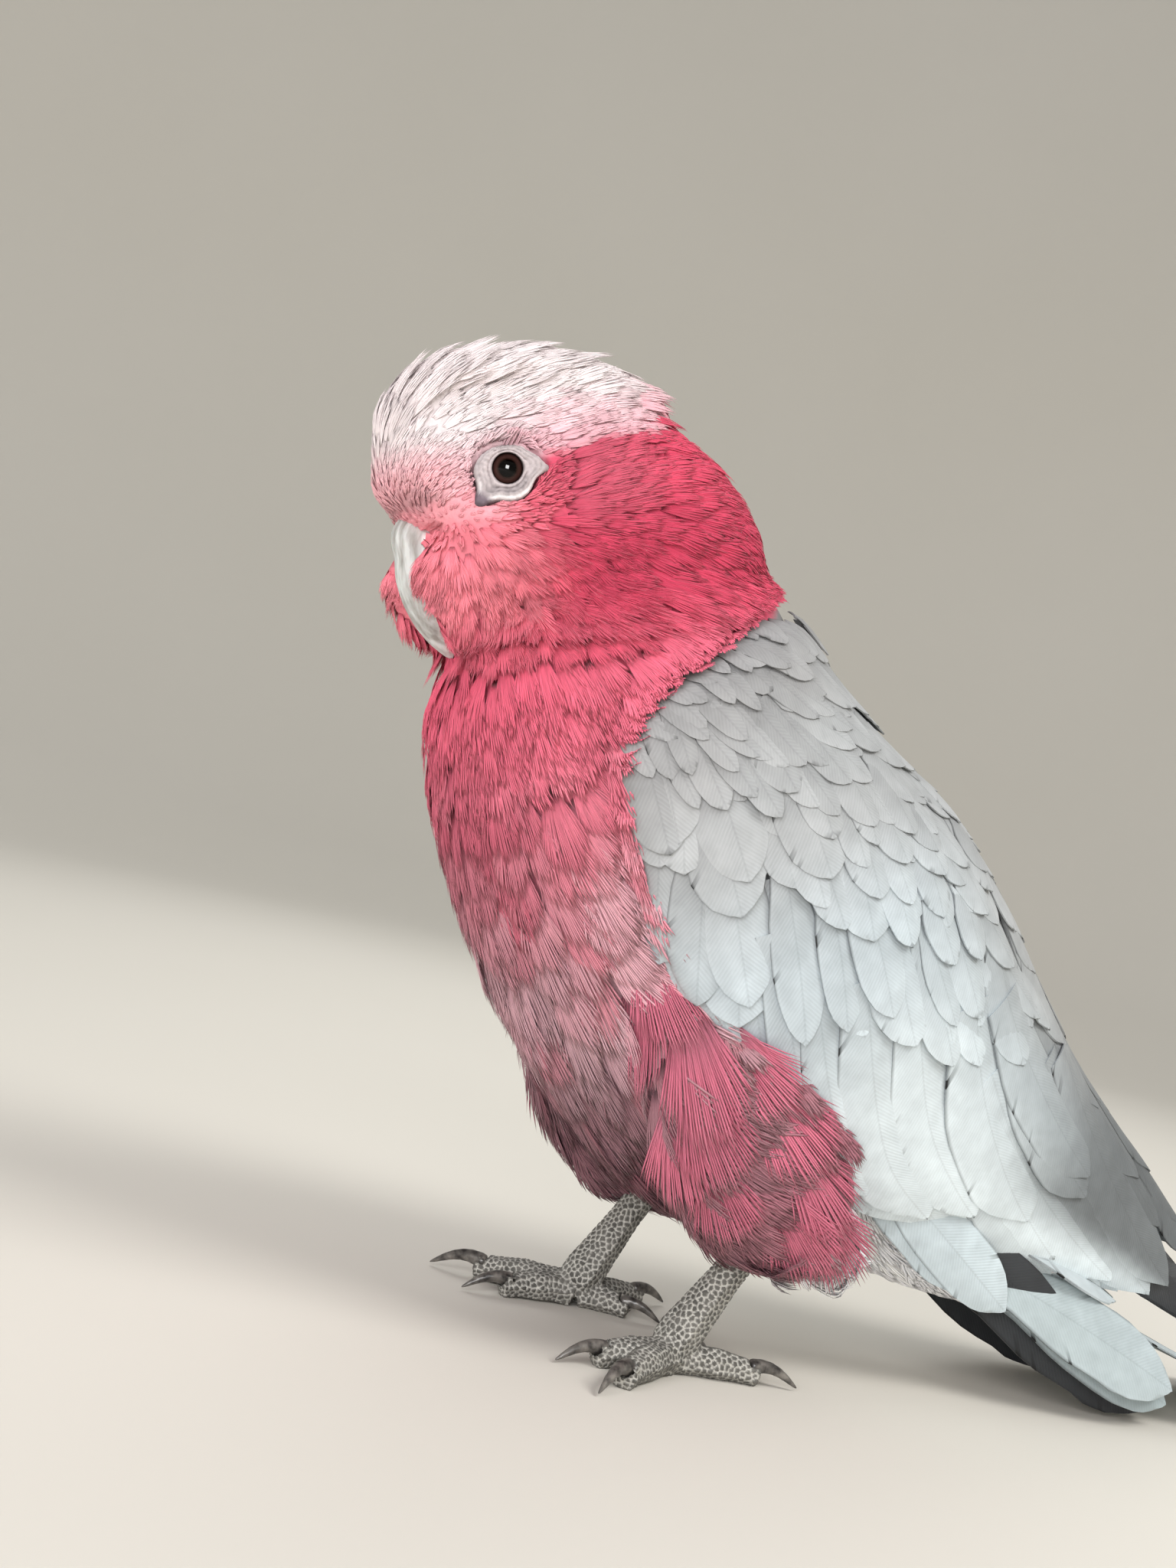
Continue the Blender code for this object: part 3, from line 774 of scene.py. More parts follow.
def vane_recipe(tree: Tree, shader: Node) -> None:
    """Closed vanes: hooked barbs make a smooth blade with a faint sheen.

    Barbs slant from a fine shaft, part here and there, and comb out at the rim. They are drawn
    about 1 mm apart, three times the real spacing, so that they show. The clouds are 5 mm.

    Args:
        tree: The node tree.
        shader: Its Principled shader.
    """
    place = add_node(tree, "UVMap", {"uv_map": "Vane"})
    parts = add_node(tree, "SeparateXYZ", {"Vector": place}).node.outputs
    across = add_node(tree, "Math", {"operation": "ABSOLUTE", 0: parts["X"], 1: 0.0})
    lean = add_node(tree, "Math", {"operation": "MULTIPLY", 0: across, 1: 1.15})
    slant = add_node(tree, "Math", {"operation": "SUBTRACT", 0: parts["Y"], 1: lean})
    line = add_node(tree, "CombineXYZ", {"X": slant})
    wave = {"Vector": line, "Scale": 0.31, "Distortion": 1.6, "Detail": 2.0, "Detail Scale": 2.0}
    barbs = add_node(tree, "TexWave", wave, "Fac")
    # A vector that feeds one number gives the mean of its three parts.
    start = add_node(tree, "Mapping", {"Vector": line, "Scale": (0.9, 1.0, 1.0)})
    which = add_node(tree, "Attribute", {"attribute_name": "Which"}, "Fac")
    own = add_node(tree, "CombineXYZ", {"X": start, "Y": which})
    flat = {"noise_dimensions": "2D", "Vector": own, "Scale": 1.0, "Detail": 0.0}
    parting = add_node(tree, "TexNoise", flat)
    rim = add_node(tree, "Attribute", {"attribute_name": "Rim"}, "Fac")
    outer = add_node(tree, "MapRange", {"Value": rim, "From Min": 0.32, "From Max": 0.02})
    gap = {"Value": parting, "From Min": 0.73, "From Max": 0.77, "To Max": 0.55}
    gaps = add_node(tree, "MapRange", gap)
    split = add_node(tree, "Math", {"operation": "MULTIPLY", 0: gaps, 1: outer})
    outmost = add_node(tree, "MapRange", {"Value": rim, "From Min": 0.14, "From Max": 0.0})
    teeth = add_node(tree, "Math", {"operation": "MULTIPLY", 0: barbs, 1: outmost})
    comb = add_node(tree, "Math", {"operation": "MULTIPLY", 0: teeth, 1: 0.1})
    # Painted shadow: a dark line along the rim, where the neighbouring feather's edge shades it; the pale
    # band just inside is the real fringe.
    rim_shadow = add_node(tree, "MapRange", {"Value": rim, "From Max": 0.08, "To Min": 0.5})
    light = {"Value": rim, "From Min": 0.06, "From Max": 0.18, "To Min": 1.07, "To Max": 1.0}
    fringe = add_node(tree, "MapRange", light)
    edge = add_node(tree, "Math", {"operation": "MULTIPLY", 0: rim_shadow, 1: fringe})
    ridge = {"Value": across, "From Min": 0.12, "From Max": 0.3, "To Min": 0.9}
    shaft = add_node(tree, "MapRange", ridge)
    ribs = add_node(tree, "Math", {"operation": "MULTIPLY", 0: barbs, 1: 0.18})
    grained = add_node(tree, "Math", {"operation": "ADD", 0: ribs, 1: mottle(tree, 210.0, 3.0)})
    tone = {"Value": grained, "From Min": 0.35, "From Max": 0.95, "To Min": 0.84, "To Max": 1.1}
    level = add_node(tree, "MapRange", tone)
    steps = (("MULTIPLY", edge), ("MULTIPLY", shaft), ("SUBTRACT", split), ("SUBTRACT", comb))
    for operation, other in steps:
        level = add_node(tree, "Math", {"operation": operation, 0: level, 1: other})
    level = add_node(tree, "MapRange", {"Value": level, "From Max": 1.2})
    marking_times(tree, shader, level, 0.0, 1.2)
    bumped(tree, shader, barbs, 0.25, 0.12)


def horn_recipe(tree: Tree, shader: Node) -> None:
    """Bill horn: pale, waxy and half polished, with growth streaks of 1 by 8 mm down it.

    Args:
        tree: The node tree.
        shader: Its Principled shader.
    """
    place = add_node(tree, "TexCoord", out="Object")
    spread = add_node(tree, "Mapping", {"Vector": place, "Scale": (900, 300, 120)})
    streak = add_node(tree, "TexNoise", {"Vector": spread, "Scale": 1.0, "Detail": 4.0})
    toned(tree, shader, streak, ((0.3, "96938D"), (0.62, "D6DAD8")))
    bumped(tree, shader, streak, 0.2, 0.1)


def claw_recipe(tree: Tree, shader: Node) -> None:
    """Claw horn: dark, worn and part glossy, in streaks of 2 mm."""
    toned(tree, shader, mottle(tree, 500.0, 3.0), ((0.35, "2F2C2B"), (0.75, "86817A")))
    bumped(tree, shader, mottle(tree, 500.0, 3.0), 0.2, 0.1)


def leather_recipe(tree: Tree, shader: Node) -> None:
    """Bare skin of the feet and eye rings: dry and dull, with creases of 0.6 mm."""
    marking_times(tree, shader, mottle(tree, 1600.0, 3.0), 0.75, 1.2)
    bumped(tree, shader, mottle(tree, 1600.0, 3.0), 0.5, 0.2)


def eye_recipe(tree: Tree, shader: Node) -> None:
    """Wet eyeball: a sharp gloss over a black pupil and a brown iris with flecks of 0.7 mm."""
    marking_times(tree, shader, mottle(tree, 1500.0, 2.0), 0.75, 1.25)


def card_recipe(tree: Tree, shader: Node) -> None:
    """Studio card: matt and pale, with a faint mottle a third of a metre across."""
    toned(tree, shader, mottle(tree, 3.0, 2.0), ((0.0, "D6D2C8"), (1.0, "DAD6CD")))


CONTOUR = Finish("contour_feather_barbs", 0.8, 0.12, 1.54, sheen=0.08, recipe=barb_recipe)
DOWN = Finish("down_over_skin", 0.95, 0.1, 1.5, recipe=down_recipe)
VANE = Finish("closed_feather_vane", 0.6, 0.3, 1.54, sheen=0.1, recipe=vane_recipe)
HORN = Finish("bill_horn_polished", 0.34, 0.45, 1.54, subsurface=0.12, recipe=horn_recipe)
CLAW = Finish("claw_horn_worn", 0.36, 0.45, 1.54, recipe=claw_recipe)
LEATHER = Finish("dry_bare_skin", 0.72, 0.3, 1.45, recipe=leather_recipe)
CORNEA = Finish("wet_eyeball", 0.05, 0.3, 1.38, recipe=eye_recipe)
CARD = Finish("matt_studio_card", 0.95, 0.1, 1.45, recipe=card_recipe)


def dressed(piece: Piece, finish: Finish, replaced: Iterable[str] = ()) -> Piece:
    """Give a piece its finish, hang it under the root body and hide the CAD nodes that it stands for.

    Args:
        piece: The object.
        finish: Its finish.
        replaced: CAD nodes that the piece stands for.

    Returns:
        The same object.
    """
    piece.data.materials.clear()
    piece.data.materials.append(finish.made())
    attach(piece, "root")
    names = tuple(replaced)
    if names:
        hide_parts(*names)
    log.info("%s: %d faces", piece.name, len(piece.data.polygons))
    return piece


# --- skin and the level of the coat


@dataclass
class Surface:
    """A closed surface of four-sided faces, in mm, that feathers are laid on."""

    points: Array
    faces: Array
    normals: Array
    tree: BVHTree = field(init=False)
    finder: KDTree = field(init=False)

    def __post_init__(self) -> None:
        """Prepare the two search trees."""
        self.tree = BVHTree.FromPolygons(self.points.tolist(), self.faces.tolist())
        self.finder = finder_of(self.points)

    def nearest(self, points: Array) -> tuple[Array, Array]:
        """The surface's nearest places to points, and its smooth normals there."""
        places = [self.tree.find_nearest(Vector(point))[0] for point in points]
        return np.array(places), self.normals[[self.finder.find(place)[1] for place in places]]

    def march(self, points: Array, way: Callable[[Array, Array], Array], far: float) -> Array:
        """Walk over the surface.

        Args:
            points: Starts.
            way: Gives unit tangents from points and normals.
            far: Millimetres to walk, backwards if negative.

        Returns:
            The places reached.
        """
        here, up = self.nearest(points)
        for _ in range(5):
            here, up = self.nearest(here + way(here, up) * far / 5)
        return here


@dataclass
class Skin:
    """The bird's one skin, and the level that the coat's outside lies at.

    Attributes:
        flesh: Nodes that the skin stands for.
        arms: Nodes of the wings, whose bulk is under the wing feathers.
        firm: Nodes that feathers may lie over but don't grow from, the bill first.
        grain_size: Size of the skin's faces in mm.
        swell: How far solids are swollen while they melt together.
        rounds: How often the melted surface is smoothed.
        crown_rounds: How often the crown is smoothed again.
        head_depth: Depth of the coat on the head.
        body_depth: Depth of the coat on the body.
    """

    flesh: tuple[str, ...] = (
        "head", "crest", "neck", "trunk", "rump", "thigh_left", "thigh_right", "tail_coverts",
    )
    arms: tuple[str, ...] = ("wing_left", "wing_right")
    firm: tuple[str, ...] = (
        "bill_upper", "bill_lower", "eyelid_left", "eyelid_right", "eye_left", "eye_right",
    )
    grain_size: float = 1.35
    swell: float = 0.45
    rounds: int = 5
    crown_rounds: int = 45
    head_depth: float = 0.95
    body_depth: float = 2.2

    def moulded(self, names: Iterable[str]) -> Surface:
        """Melt nodes into one smooth closed surface.

        Args:
            names: The nodes.

        Returns:
            The surface at the nodes' own level.
        """
        whole = bmesh.new()
        for name in names:
            part = node_copy(name)
            part.normal_update()
            for vertex in part.verts:
                vertex.co += vertex.normal * self.swell
            step = as_mesh(part, "step")
            whole.from_mesh(step)
            bpy.data.meshes.remove(step)
        melt = ("REMESH", {"mode": "VOXEL", "voxel_size": self.grain_size})
        soften = ("SMOOTH", {"factor": 0.5, "iterations": self.rounds})
        done = remade(as_mesh(whole, "melt"), (melt, soften))
        if "crest" in names:
            self.round_crown(done)
        points, normals = read(done.vertices, "co", 3), read(done.vertices, "normal", 3)
        faces = read(done.loops, "vertex_index", 1, np.int32).reshape(-1, 4)
        bpy.data.meshes.remove(done)
        if "head" in names:
            head = HEAD.inward(points)
            just_over = ease(3, -4, head[:, 2]) * ease(-13, -8, head[:, 2])
            head[:, 1] += 1.7 * just_over * ease(-22, -30, head[:, 1])
            points = HEAD.outward(head)
        return Surface(points - normals * self.swell, faces, normals)

    def round_crown(self, mesh: Mesh) -> None:
        """Smooth away the furrow between the crest and the crown.

        Args:
            mesh: The melted surface, changed in place.
        """
        points = read(mesh.vertices, "co", 3)
        one, two = read(mesh.edges, "vertices", 2, np.int32).T
        degree = np.bincount(one, minlength=len(points)) + np.bincount(two, minlength=len(points))
        _, y, z = HEAD.inward(points).T
        share = (ease(6, 14, z + 0.25 * (y - 20).clip(0)) * ease(50, 40, y))[:, None] * 0.6
        top = points.copy()
        for _ in range(self.crown_rounds):
            total = np.zeros_like(points)
            np.add.at(total, one, points[two])
            np.add.at(total, two, points[one])
            points = points + (total / degree[:, None] - points) * share
        rise = (top - points) * share * 0.5
        points = points + np.maximum(rise @ HEAD.turn()[:, 2:3], 0) * HEAD.turn()[:, 2]
        mesh.vertices.foreach_set("co", points.ravel())
        mesh.update()

    def depth(self, points: Array) -> Array:
        """Find how deep the coat is: thinnest round the bill and the eye, and on the wing.

        Args:
            points: Points on the coat's level.

        Returns:
            Millimetres at each point.
        """
        head = HEAD.inward(points)
        on_head = ease(-36, -26, head[:, 2]) * ease(44, 30, head[:, 1])
        found = self.body_depth + (self.head_depth - self.body_depth) * on_head
        face = ease(-4, -12, head[:, 1]) * ease(-9, -4, head[:, 2]) * ease(16, 9, head[:, 2])
        found = found - 0.35 * on_head * face
        found = found - 0.4 * on_head * ease(2, 9, head[:, 2]) * ease(50, 40, head[:, 1])
        share = ring_share(points)
        found = found - 0.45 * on_head * ease(1.8, 1.15, share)
        s, a, _ = CHART.locate(points)
        lower = CHART.values(s)[5]
        thin = np.interp(s, (60, 120, 175, 250), (2.2, 1.6, 0.7, 0.4))
        on_wing = ease(lower + 8, lower + 2, np.abs(a)) * ease(60, 75, s)
        found = found + (np.minimum(thin, found) - found) * on_wing
        beside_ring = 0.5 * ease(1.4, 1.05, share) * ease(0.85, 0.95, share) * ease(2, 5, head[:, 2])
        return np.maximum(found, 0.25) - beside_ring + 2.5 * ease(0.92, 0.8, share)

    def build(self) -> None:
        """Make the skin's object."""
        level = self.moulded((*self.flesh, *self.arms))
        points = level.points - level.normals * self.depth(level.points)[:, None]
        self.inside_bill(points, bill_window(level.points, 0.4) > 0.5)
        made = joined_mesh("skin", points, level.faces)
        paint(made, PLUMAGE.skin(level.points))
        dressed(new_piece("skin", made), DOWN, self.flesh)

    def inside_bill(self, points: Array, hidden: Array) -> None:
        """Draw the skin into the bill where the bill shows between the cheeks.

        Args:
            points: The skin's points, changed in place.
            hidden: Which of them are in the bill's window.
        """
        tree = node_tree(self.firm[0])
        deep = 1.1
        for number in np.nonzero(hidden)[0]:
            here = Vector(points[number])
            side = 1 if here.x > 0 else -1
            beside = tree.ray_cast(Vector((side * 30, here.y, here.z)), Vector((-side, 0, 0)))[0]
            hit, normal = tree.find_nearest(here)[:2]
            if beside is not None:
                points[number, 0] = side * min(abs(here.x), max(abs(beside.x) - 1.2, 0))
            elif (here - hit).dot(normal) > -deep:
                points[number] = hit - normal * deep
                points[number] = hit - normal * 1.1


def bill_window(points: Array, margin: float = 0.0) -> Array:
    """Where the bill shows between the cheeks: 1 inside, 0 outside.

    The cheeks part along a slant, so that the bill shows from each side's front.

    Args:
        points: Points in mm.
        margin: Millimetres by which the window is wider.

    Returns:
        One value for each point.
    """
    x, y, z = HEAD.inward(points).T
    y, z = y + 0.29 * np.abs(x) - 2.6 * (x < 0) * ease(-20, -9, z), z + 0.052 * np.abs(x)
    heights = (-33, -31.4, -28.4, -26, -23.6, -21, -18.7, -16.9, -13.8, -10.2, -8.3, -6)
    edge = (-18.8, -20.4, -23, -23.7, -25.3, -27.0, -28.9, -29.6, -28.8, -26.2, -23.0, -20.0)
    top = -5.0 - 0.15 * (y + 29.8)
    return ((y < np.interp(z, heights, edge) + margin) & (z < top + margin) & (z > -33.5)).astype(float)


def shoulder_end(a: Array) -> Array:
    """How far along the body the neck's feathers reach over the wing, by the angle round it."""
    return np.interp(np.abs(a), (30, 55, 70, 89, 106, 116), (0.9, 1.3, 2.1, 4.4, 8.4, 15))


def ring_share(points: Array) -> Array:
    """Find how near the eye points are.

    Args:
        points: Points in mm.

    Returns:
        Distance from the nearer eye as a share of the bare ring's reach.
    """
    head = HEAD.inward(points)
    eye = Eye(1, "left")
    turn = math.radians(eye.forward)
    local = np.column_stack([np.abs(head[:, 0]), head[:, 1], head[:, 2]]) - np.array(eye.place)
    back = local[:, 0] * math.sin(turn) + local[:, 1] * math.cos(turn)
    down = -local[:, 2]
    reach = eye.reach(np.arctan2(back, down))
    out = local[:, 0] * math.cos(turn) - local[:, 1] * math.sin(turn)
    return np.where(out > -9, np.hypot(back, down) / reach, 9.0)


# --- feather shapes


@dataclass(frozen=True)
class Lay:
    """How the tufts of a zone are sized, shaped and laid. A tuft is a fan of slender barb locks.

    Attributes:
        spacing: Millimetres between roots.
        length: Of a tuft, in mm.
        width: Of a tuft, in mm.
        lift: How far the tips stand above the coat's level.
        locks: How many locks a tuft has.
        flare: Width at the tip as a share of the width at the middle.
        ragged: How much the locks' tips differ.
        stray: Random turn in degrees.
        slim: Width of a lock near its tip as a share of the space between locks.
    """

    spacing: float
    length: float
    width: float
    lift: float
    locks: int
    flare: float
    ragged: float
    stray: float
    slim: float

    def rings(self) -> tuple[float, ...]:
        """Places of a lock's rings along it: fewer on the shortest tufts."""
        return (0.3, 0.75) if self.length < 5 else (0.25, 0.55, 0.82)

    def shape(self, kind: int) -> tuple[Array, Array]:
        """Make one tuft, 1 wide and 1 long, from its root at the origin along +Y.

        Args:
            kind: Which random variant.

        Returns:
            Its vertices and its triangles.
        """
        chance = np.random.default_rng(17 * kind + self.locks)
        made = bmesh.new()
        for number in range(self.locks):
            share = 2 * (number + 0.5) / self.locks - 1
            start = chance.uniform(0, 0.06)
            end = 1 - 0.34 * share**2 - chance.uniform(0, self.ragged)
            width = 0.64 / self.locks * chance.uniform(0.85, 1.25)
            drift = chance.uniform(-0.45, 0.45) / self.locks
            lift = chance.uniform(-0.02, 0.05)
            self.lock(made, share, start, end, width, drift, lift)
        bmesh.ops.triangulate(made, faces=made.faces)
        bmesh.ops.recalc_face_normals(made, faces=made.faces)
        return as_arrays(made)

    def lock(
        self, made: Shape, share: float, start: float, end: float, width: float, drift: float, lift: float
    ) -> None:
        """Add one lock: a three-sided spindle with its ridge up and a point at both ends.

        Args:
            made: The bmesh to add to.
            share: Place across the tuft, from -1 to 1.
            start: Where it starts along the tuft.
            end: Where it ends.
            width: Half its width at the middle.
            drift: How far its tip strays sideways.
            lift: How far its tip stands up.
        """
        ends = (start, *(start + (end - start) * r for r in self.rings()), end)
        sizes = (0.0, *(1.0 if r < 0.7 else self.slim for r in self.rings()), 0.0)
        cap = bmesh.ops.create_circle(made, segments=3, radius=1, cap_ends=True)["verts"]
        bmesh.ops.rotate(made, verts=cap, matrix=Matrix.Rotation(math.pi / 2, 3, "X"))
        face = cap[0].link_faces[0]
        loops = [list(face.verts)]
        for _ in ends[1:]:
            grown = bmesh.ops.extrude_face_region(made, geom=[face])["geom"]
            if len(loops) > 1:
                bmesh.ops.delete(made, geom=[face], context="FACES_ONLY")
            face = next(g for g in grown if isinstance(g, bmesh.types.BMFace))
            loops.append(list(face.verts))
        for loop, y, size in zip(loops, ends, sizes):
            t = (y - start) / (end - start)
            spread = 0.12 + 0.88 * math.sin(min(y * 1.7, math.pi / 2))
            flare = 1 + (self.flare - 1) * t**2
            middle = Vector((0.5 * share * spread * flare + drift * t**2, y, lift * t**2))
            around = sum((v.co for v in loop), Vector()) / 3
            for vertex in loop:
                offset = vertex.co - around
                vertex.co = middle + Vector((offset.x * width * size, 0, abs(offset.z) * width * size * 0.6))
        for loop, y in ((loops[0], 0), (loops[-1], 1)):
            bmesh.ops.pointmerge(made, verts=loop, merge_co=loop[0].co)


@dataclass(frozen=True)
class Vane:
    """A flat closed feather blade with a round or pointed tip.

    Attributes:
        across: Faces across it.
        along: Faces along it.
        root: Width at the root as a share of the full width.
        shoulder: Where along it the tip starts to narrow.
        point: 0 for a round tip and 1 for a pointed one.
        camber: How far its sides drop, as a share of its width.
        notch: How ragged its tip is, as a share of its length.
    """

    across: int = 8
    along: int = 8
    root: float = 0.45
    shoulder: float = 0.6
    point: float = 0.0
    camber: float = 0.06
    notch: float = 0.03

    def profile(self, v: Array) -> Array:
        """Outline of the blade.

        Args:
            v: Shares of its length.

        Returns:
            Widths as shares of the full width.
        """
        rise = self.root + (1 - self.root) * ease(0, 0.45, v)
        t = np.clip((v - self.shoulder) / (1 - self.shoulder), 0, 1)
        tip = np.sqrt(np.clip(1 - t**2, 0, 1)) * (1 - self.point) + (1 - t) * self.point
        return rise * np.maximum(tip, 0.07)

    def shape(self, thickness: float, seed: int = 0, aspect: float = 1.0) -> tuple[Array, Array, Array]:
        """One feather, 1 wide and 1 long, from its root at the origin along +Y.

        Args:
            thickness: Of the blade, in the same unit as its width.
            seed: Which random rim.
            aspect: Length against width.

        Returns:
            Its vertices, its triangles and each vertex's distance from the rim in half widths.
        """
        chance = np.random.default_rng(seed)
        made = bmesh.new()
        bmesh.ops.create_grid(made, x_segments=self.across, y_segments=self.along, size=0.5)
        for vertex in made.verts:
            across = vertex.co.x * 2
            v = 1 - max(0.5 - vertex.co.y, 0) ** 1.7
            width = float(self.profile(np.array(v)))
            bow = 0.03 * across * across if v > self.shoulder else 0
            if vertex.co.y > 0.499:
                bow += 0.2 * self.notch * chance.random()
            if abs(across) > 0.99 and v > 0.5:
                width *= 1 + self.notch * chance.uniform(-1.2, 0.6)
            vertex.co = (0.5 * across * width, v - bow, -self.camber * across * across * width)
        bmesh.ops.solidify(made, geom=made.faces[:], thickness=thickness)
        bmesh.ops.recalc_face_normals(made, faces=made.faces)
        bmesh.ops.triangulate(made, faces=made.faces)
        points, faces = as_arrays(made)
        width = self.profile(np.clip(points[:, 1], 0, 1)) / 2
        side = np.clip(1 - np.abs(points[:, 0]) / width, 0, 1) * width * 2
        tip = np.clip(1 - points[:, 1], 0, 1) * 2 * aspect
        return points, faces, np.minimum(side, tip)


# --- laying tufts over the body


@dataclass
class Roots:
    """Roots of a set of tufts on the coat's level, their unit directions and their sizes in mm."""

    points: Array
    normals: Array
    heading: Array
    length: Array
    width: Array
    lift: Array

    def scale(self, length: Array, width: Array) -> None:
        """Multiply the tufts' lengths and widths."""
        self.length, self.width = self.length * length, self.width * width

    def pick(self, mine: Array) -> "Roots":
        """Only some of the tufts."""
        return Roots(*(part[mine] for part in vars(self).values()))


CREST_LAY = Lay(0, 15, 5.2, 1.0, 13, 0.6, 0.16, 3, 0.95)
FLANK_LAY = Lay(0, 28, 12, 1.0, 34, 1.45, 0.09, 3, 0.8)


@dataclass
class Coat:
    """All the tufts that grow from the skin, zone by zone.

    Attributes:
        variants: Random variants of each kind of tuft.
        candidates: How many places are tried for a root.
        least_depth: The least depth of coat, in mm, that a tuft grows through.
        sunk: Millimetres that roots are sunk in the skin.
        lays: The kind of tuft in each zone.
        crest_tips: (y, z, lift) in the head's frame of the crest's and nape's standing tips.
        flank_feathers: Root, tip and width of the long feathers over the left thigh.
    """

    skin: Skin
    variants: int = 4
    candidates: int = 110000
    least_depth: float = 0.3
    sunk: float = 0.25
    lays: dict[Zone, Lay] = field(
        default_factory=lambda: {
            Zone.CROWN: Lay(1.9, 11, 3.8, 0.02, 10, 0.9, 0.2, 3, 1.0),
            Zone.FACE: Lay(0.92, 4.2, 1.5, 0.03, 4, 0.8, 0.2, 7, 0.9),
            Zone.CHEEK: Lay(1.85, 9.0, 4.4, 0.5, 18, 1.2, 0.22, 7, 0.72),
            Zone.EAR: Lay(1.9, 12, 3.6, 0.05, 11, 0.9, 0.3, 3, 0.9),
            Zone.NECK: Lay(2.9, 15, 6.2, 0.12, 16, 1.05, 0.2, 4, 0.88),
            Zone.BREAST: Lay(5.8, 25, 13, 0.4, 30, 1.08, 0.12, 4, 0.84),
            Zone.BELLY: Lay(6.0, 26, 13.5, 0.5, 30, 1.08, 0.12, 5, 0.84),
            Zone.FLANK: Lay(5.2, 22, 12, 0.4, 26, 1.15, 0.14, 7, 0.84),
            Zone.FRINGE: Lay(2.5, 14, 5.2, 0.3, 11, 1.15, 0.3, 5, 0.8),
            Zone.VENT: Lay(3.6, 15, 8, 0.1, 13, 1.0, 0.2, 5, 0.95),
        }
    )
    crest_tips: tuple[Place, ...] = (
        (-25.5, 22.5, 0.5), (-17.7, 28.6, 1.6), (-11, 30.2, 1.2), (-4, 31.2, 2.4), (4, 31.2, 1.9),
        (11.4, 30.4, 2.8), (20.3, 26.4, 2.4), (29, 22, 1.6), (39.0, 20.2, 2.6), (44.8, 4.1, 2.0),
        (50.4, -11.8, 2.0), (54.4, -25, 1.6),
    )
    flank_feathers: tuple[tuple[Place, Place, float], ...] = (
        ((38.3, -17.1, 71.5), (42.5, -2.1, 58.5), 13),
        ((35.9, -26.2, 74.7), (40.9, -15.4, 49.2), 14),
        ((40.8, -10.7, 64.6), (39.7, 10.0, 47.2), 14),
        ((38.7, -22.7, 60.9), (39.6, -8.7, 42.0), 13),
        ((41.8, 0.3, 53.2), (36.5, 17.7, 36.2), 13),
        ((39.6, -15.7, 46.0), (36.1, -3.4, 31.6), 12),
        ((41.3, -2.8, 44.2), (30.5, 17.4, 26.1), 13),
        ((40.4, 6.0, 42.9), (27.3, 25.3, 26.0), 13),
        ((34.6, -37.4, 86.3), (38.7, -24.7, 64.9), 12),
        ((32.1, -35.7, 76.3), (32.9, -27.5, 54.9), 12),
        ((37.0, -24.1, 54.7), (31.2, -14.7, 35.0), 12),
    )

    def __post_init__(self) -> None:
        """Mould the flesh that feathers grow from and the level that they lie on."""
        self.grown = self.skin.moulded(self.skin.flesh)
        self.level = self.skin.moulded((*self.skin.flesh, *self.skin.arms, *self.skin.firm))

    def zones(self, points: Array) -> Array:
        """Sort points into zones.

        Args:
            points: Points in mm.

        Returns:
            The zone number of each, in the order of Zone.
        """
        x, y, z = HEAD.inward(points).T
        s, a, _ = CHART.locate(points)
        a = np.abs(a)
        head = (z > -31) & (y < 45) & (s < 4)
        crown = z > PLUMAGE.crown_line(y)
        gap = (a - CHART.values(s)[5]) * 0.8
        front = np.linalg.norm(np.column_stack([np.abs(x) - 10, y + 24, z + 1]), axis=1)
        eye = np.linalg.norm(np.column_stack([np.abs(x) - 20, y + 11, z - 2.5]), axis=1)
        rules = (
            (Zone.BREAST, s < np.inf),
            (Zone.BELLY, s > 58),
            (Zone.FLANK, (s > 66) & (a < 152)),
            (Zone.VENT, (s > 120) | ((s > 60) & (a < 60))),
            (Zone.FRINGE, (gap < 9) & (s < 112)),
            (Zone.NECK, s < 3),
            (Zone.CHEEK, head),
            (Zone.NECK, head & (y > 10) & ~crown),
            (Zone.CROWN, head & crown),
            (Zone.EAR, head & ~crown & (y > -7) & (y <= 14) & (z > -12)),
            (Zone.FACE, head & ((front < 12.5) & (z > -9) | (eye < 11))),
        )
        found = np.zeros(len(points), int)
        for zone, where in rules:
            found[where] = list(Zone).index(zone)
        return found

    def flow(self, points: Array, normals: Array) -> Array:
        """The direction in which feathers point.

        Args:
            points: Roots in mm.
            normals: Unit normals there.

        Returns:
            Unit tangents.
        """
        head = HEAD.inward(points)
        x, y, z = head.T
        part_y = -19.5 - 11.5 * ease(-5.5, -0.5, z)
        away = unit(np.column_stack([x * 0.15, y - part_y, z + 5.4]))
        back = np.column_stack([np.zeros_like(x), 0.15 + 1.0 * ease(-4, 8, z), -0.35 * ease(-4, -16, z)])
        radial = (away + back) @ HEAD.turn().T
        s, a, _ = CHART.locate(points)
        _, _, slope, _, _, lower = CHART.values(s)
        slope, angle = np.radians(slope), np.radians(a)
        upward = np.stack([np.zeros_like(slope), np.sin(slope), np.cos(slope)], axis=-1)
        around = np.stack([np.cos(angle), np.zeros_like(a), np.zeros_like(a)], axis=-1)
        around = around - upward * np.sin(angle)[:, None]
        gap = (np.abs(a) - lower) * 0.8
        near_wing = ((gap - 0.5) / 12).clip(0, 0.9) * ease(22, 12, gap) * ease(-8, 10, s) * ease(108, 80, s)
        near_wing *= 0.25 + 0.75 * ease(26, 48, s)
        body = CHART.axis(s) - around * (np.sign(a) * near_wing)[:, None]
        share = ease(-38, -26, z) * ease(10, -8, s)
        return flatten_to(mix(body, unit(radial), share), normals)

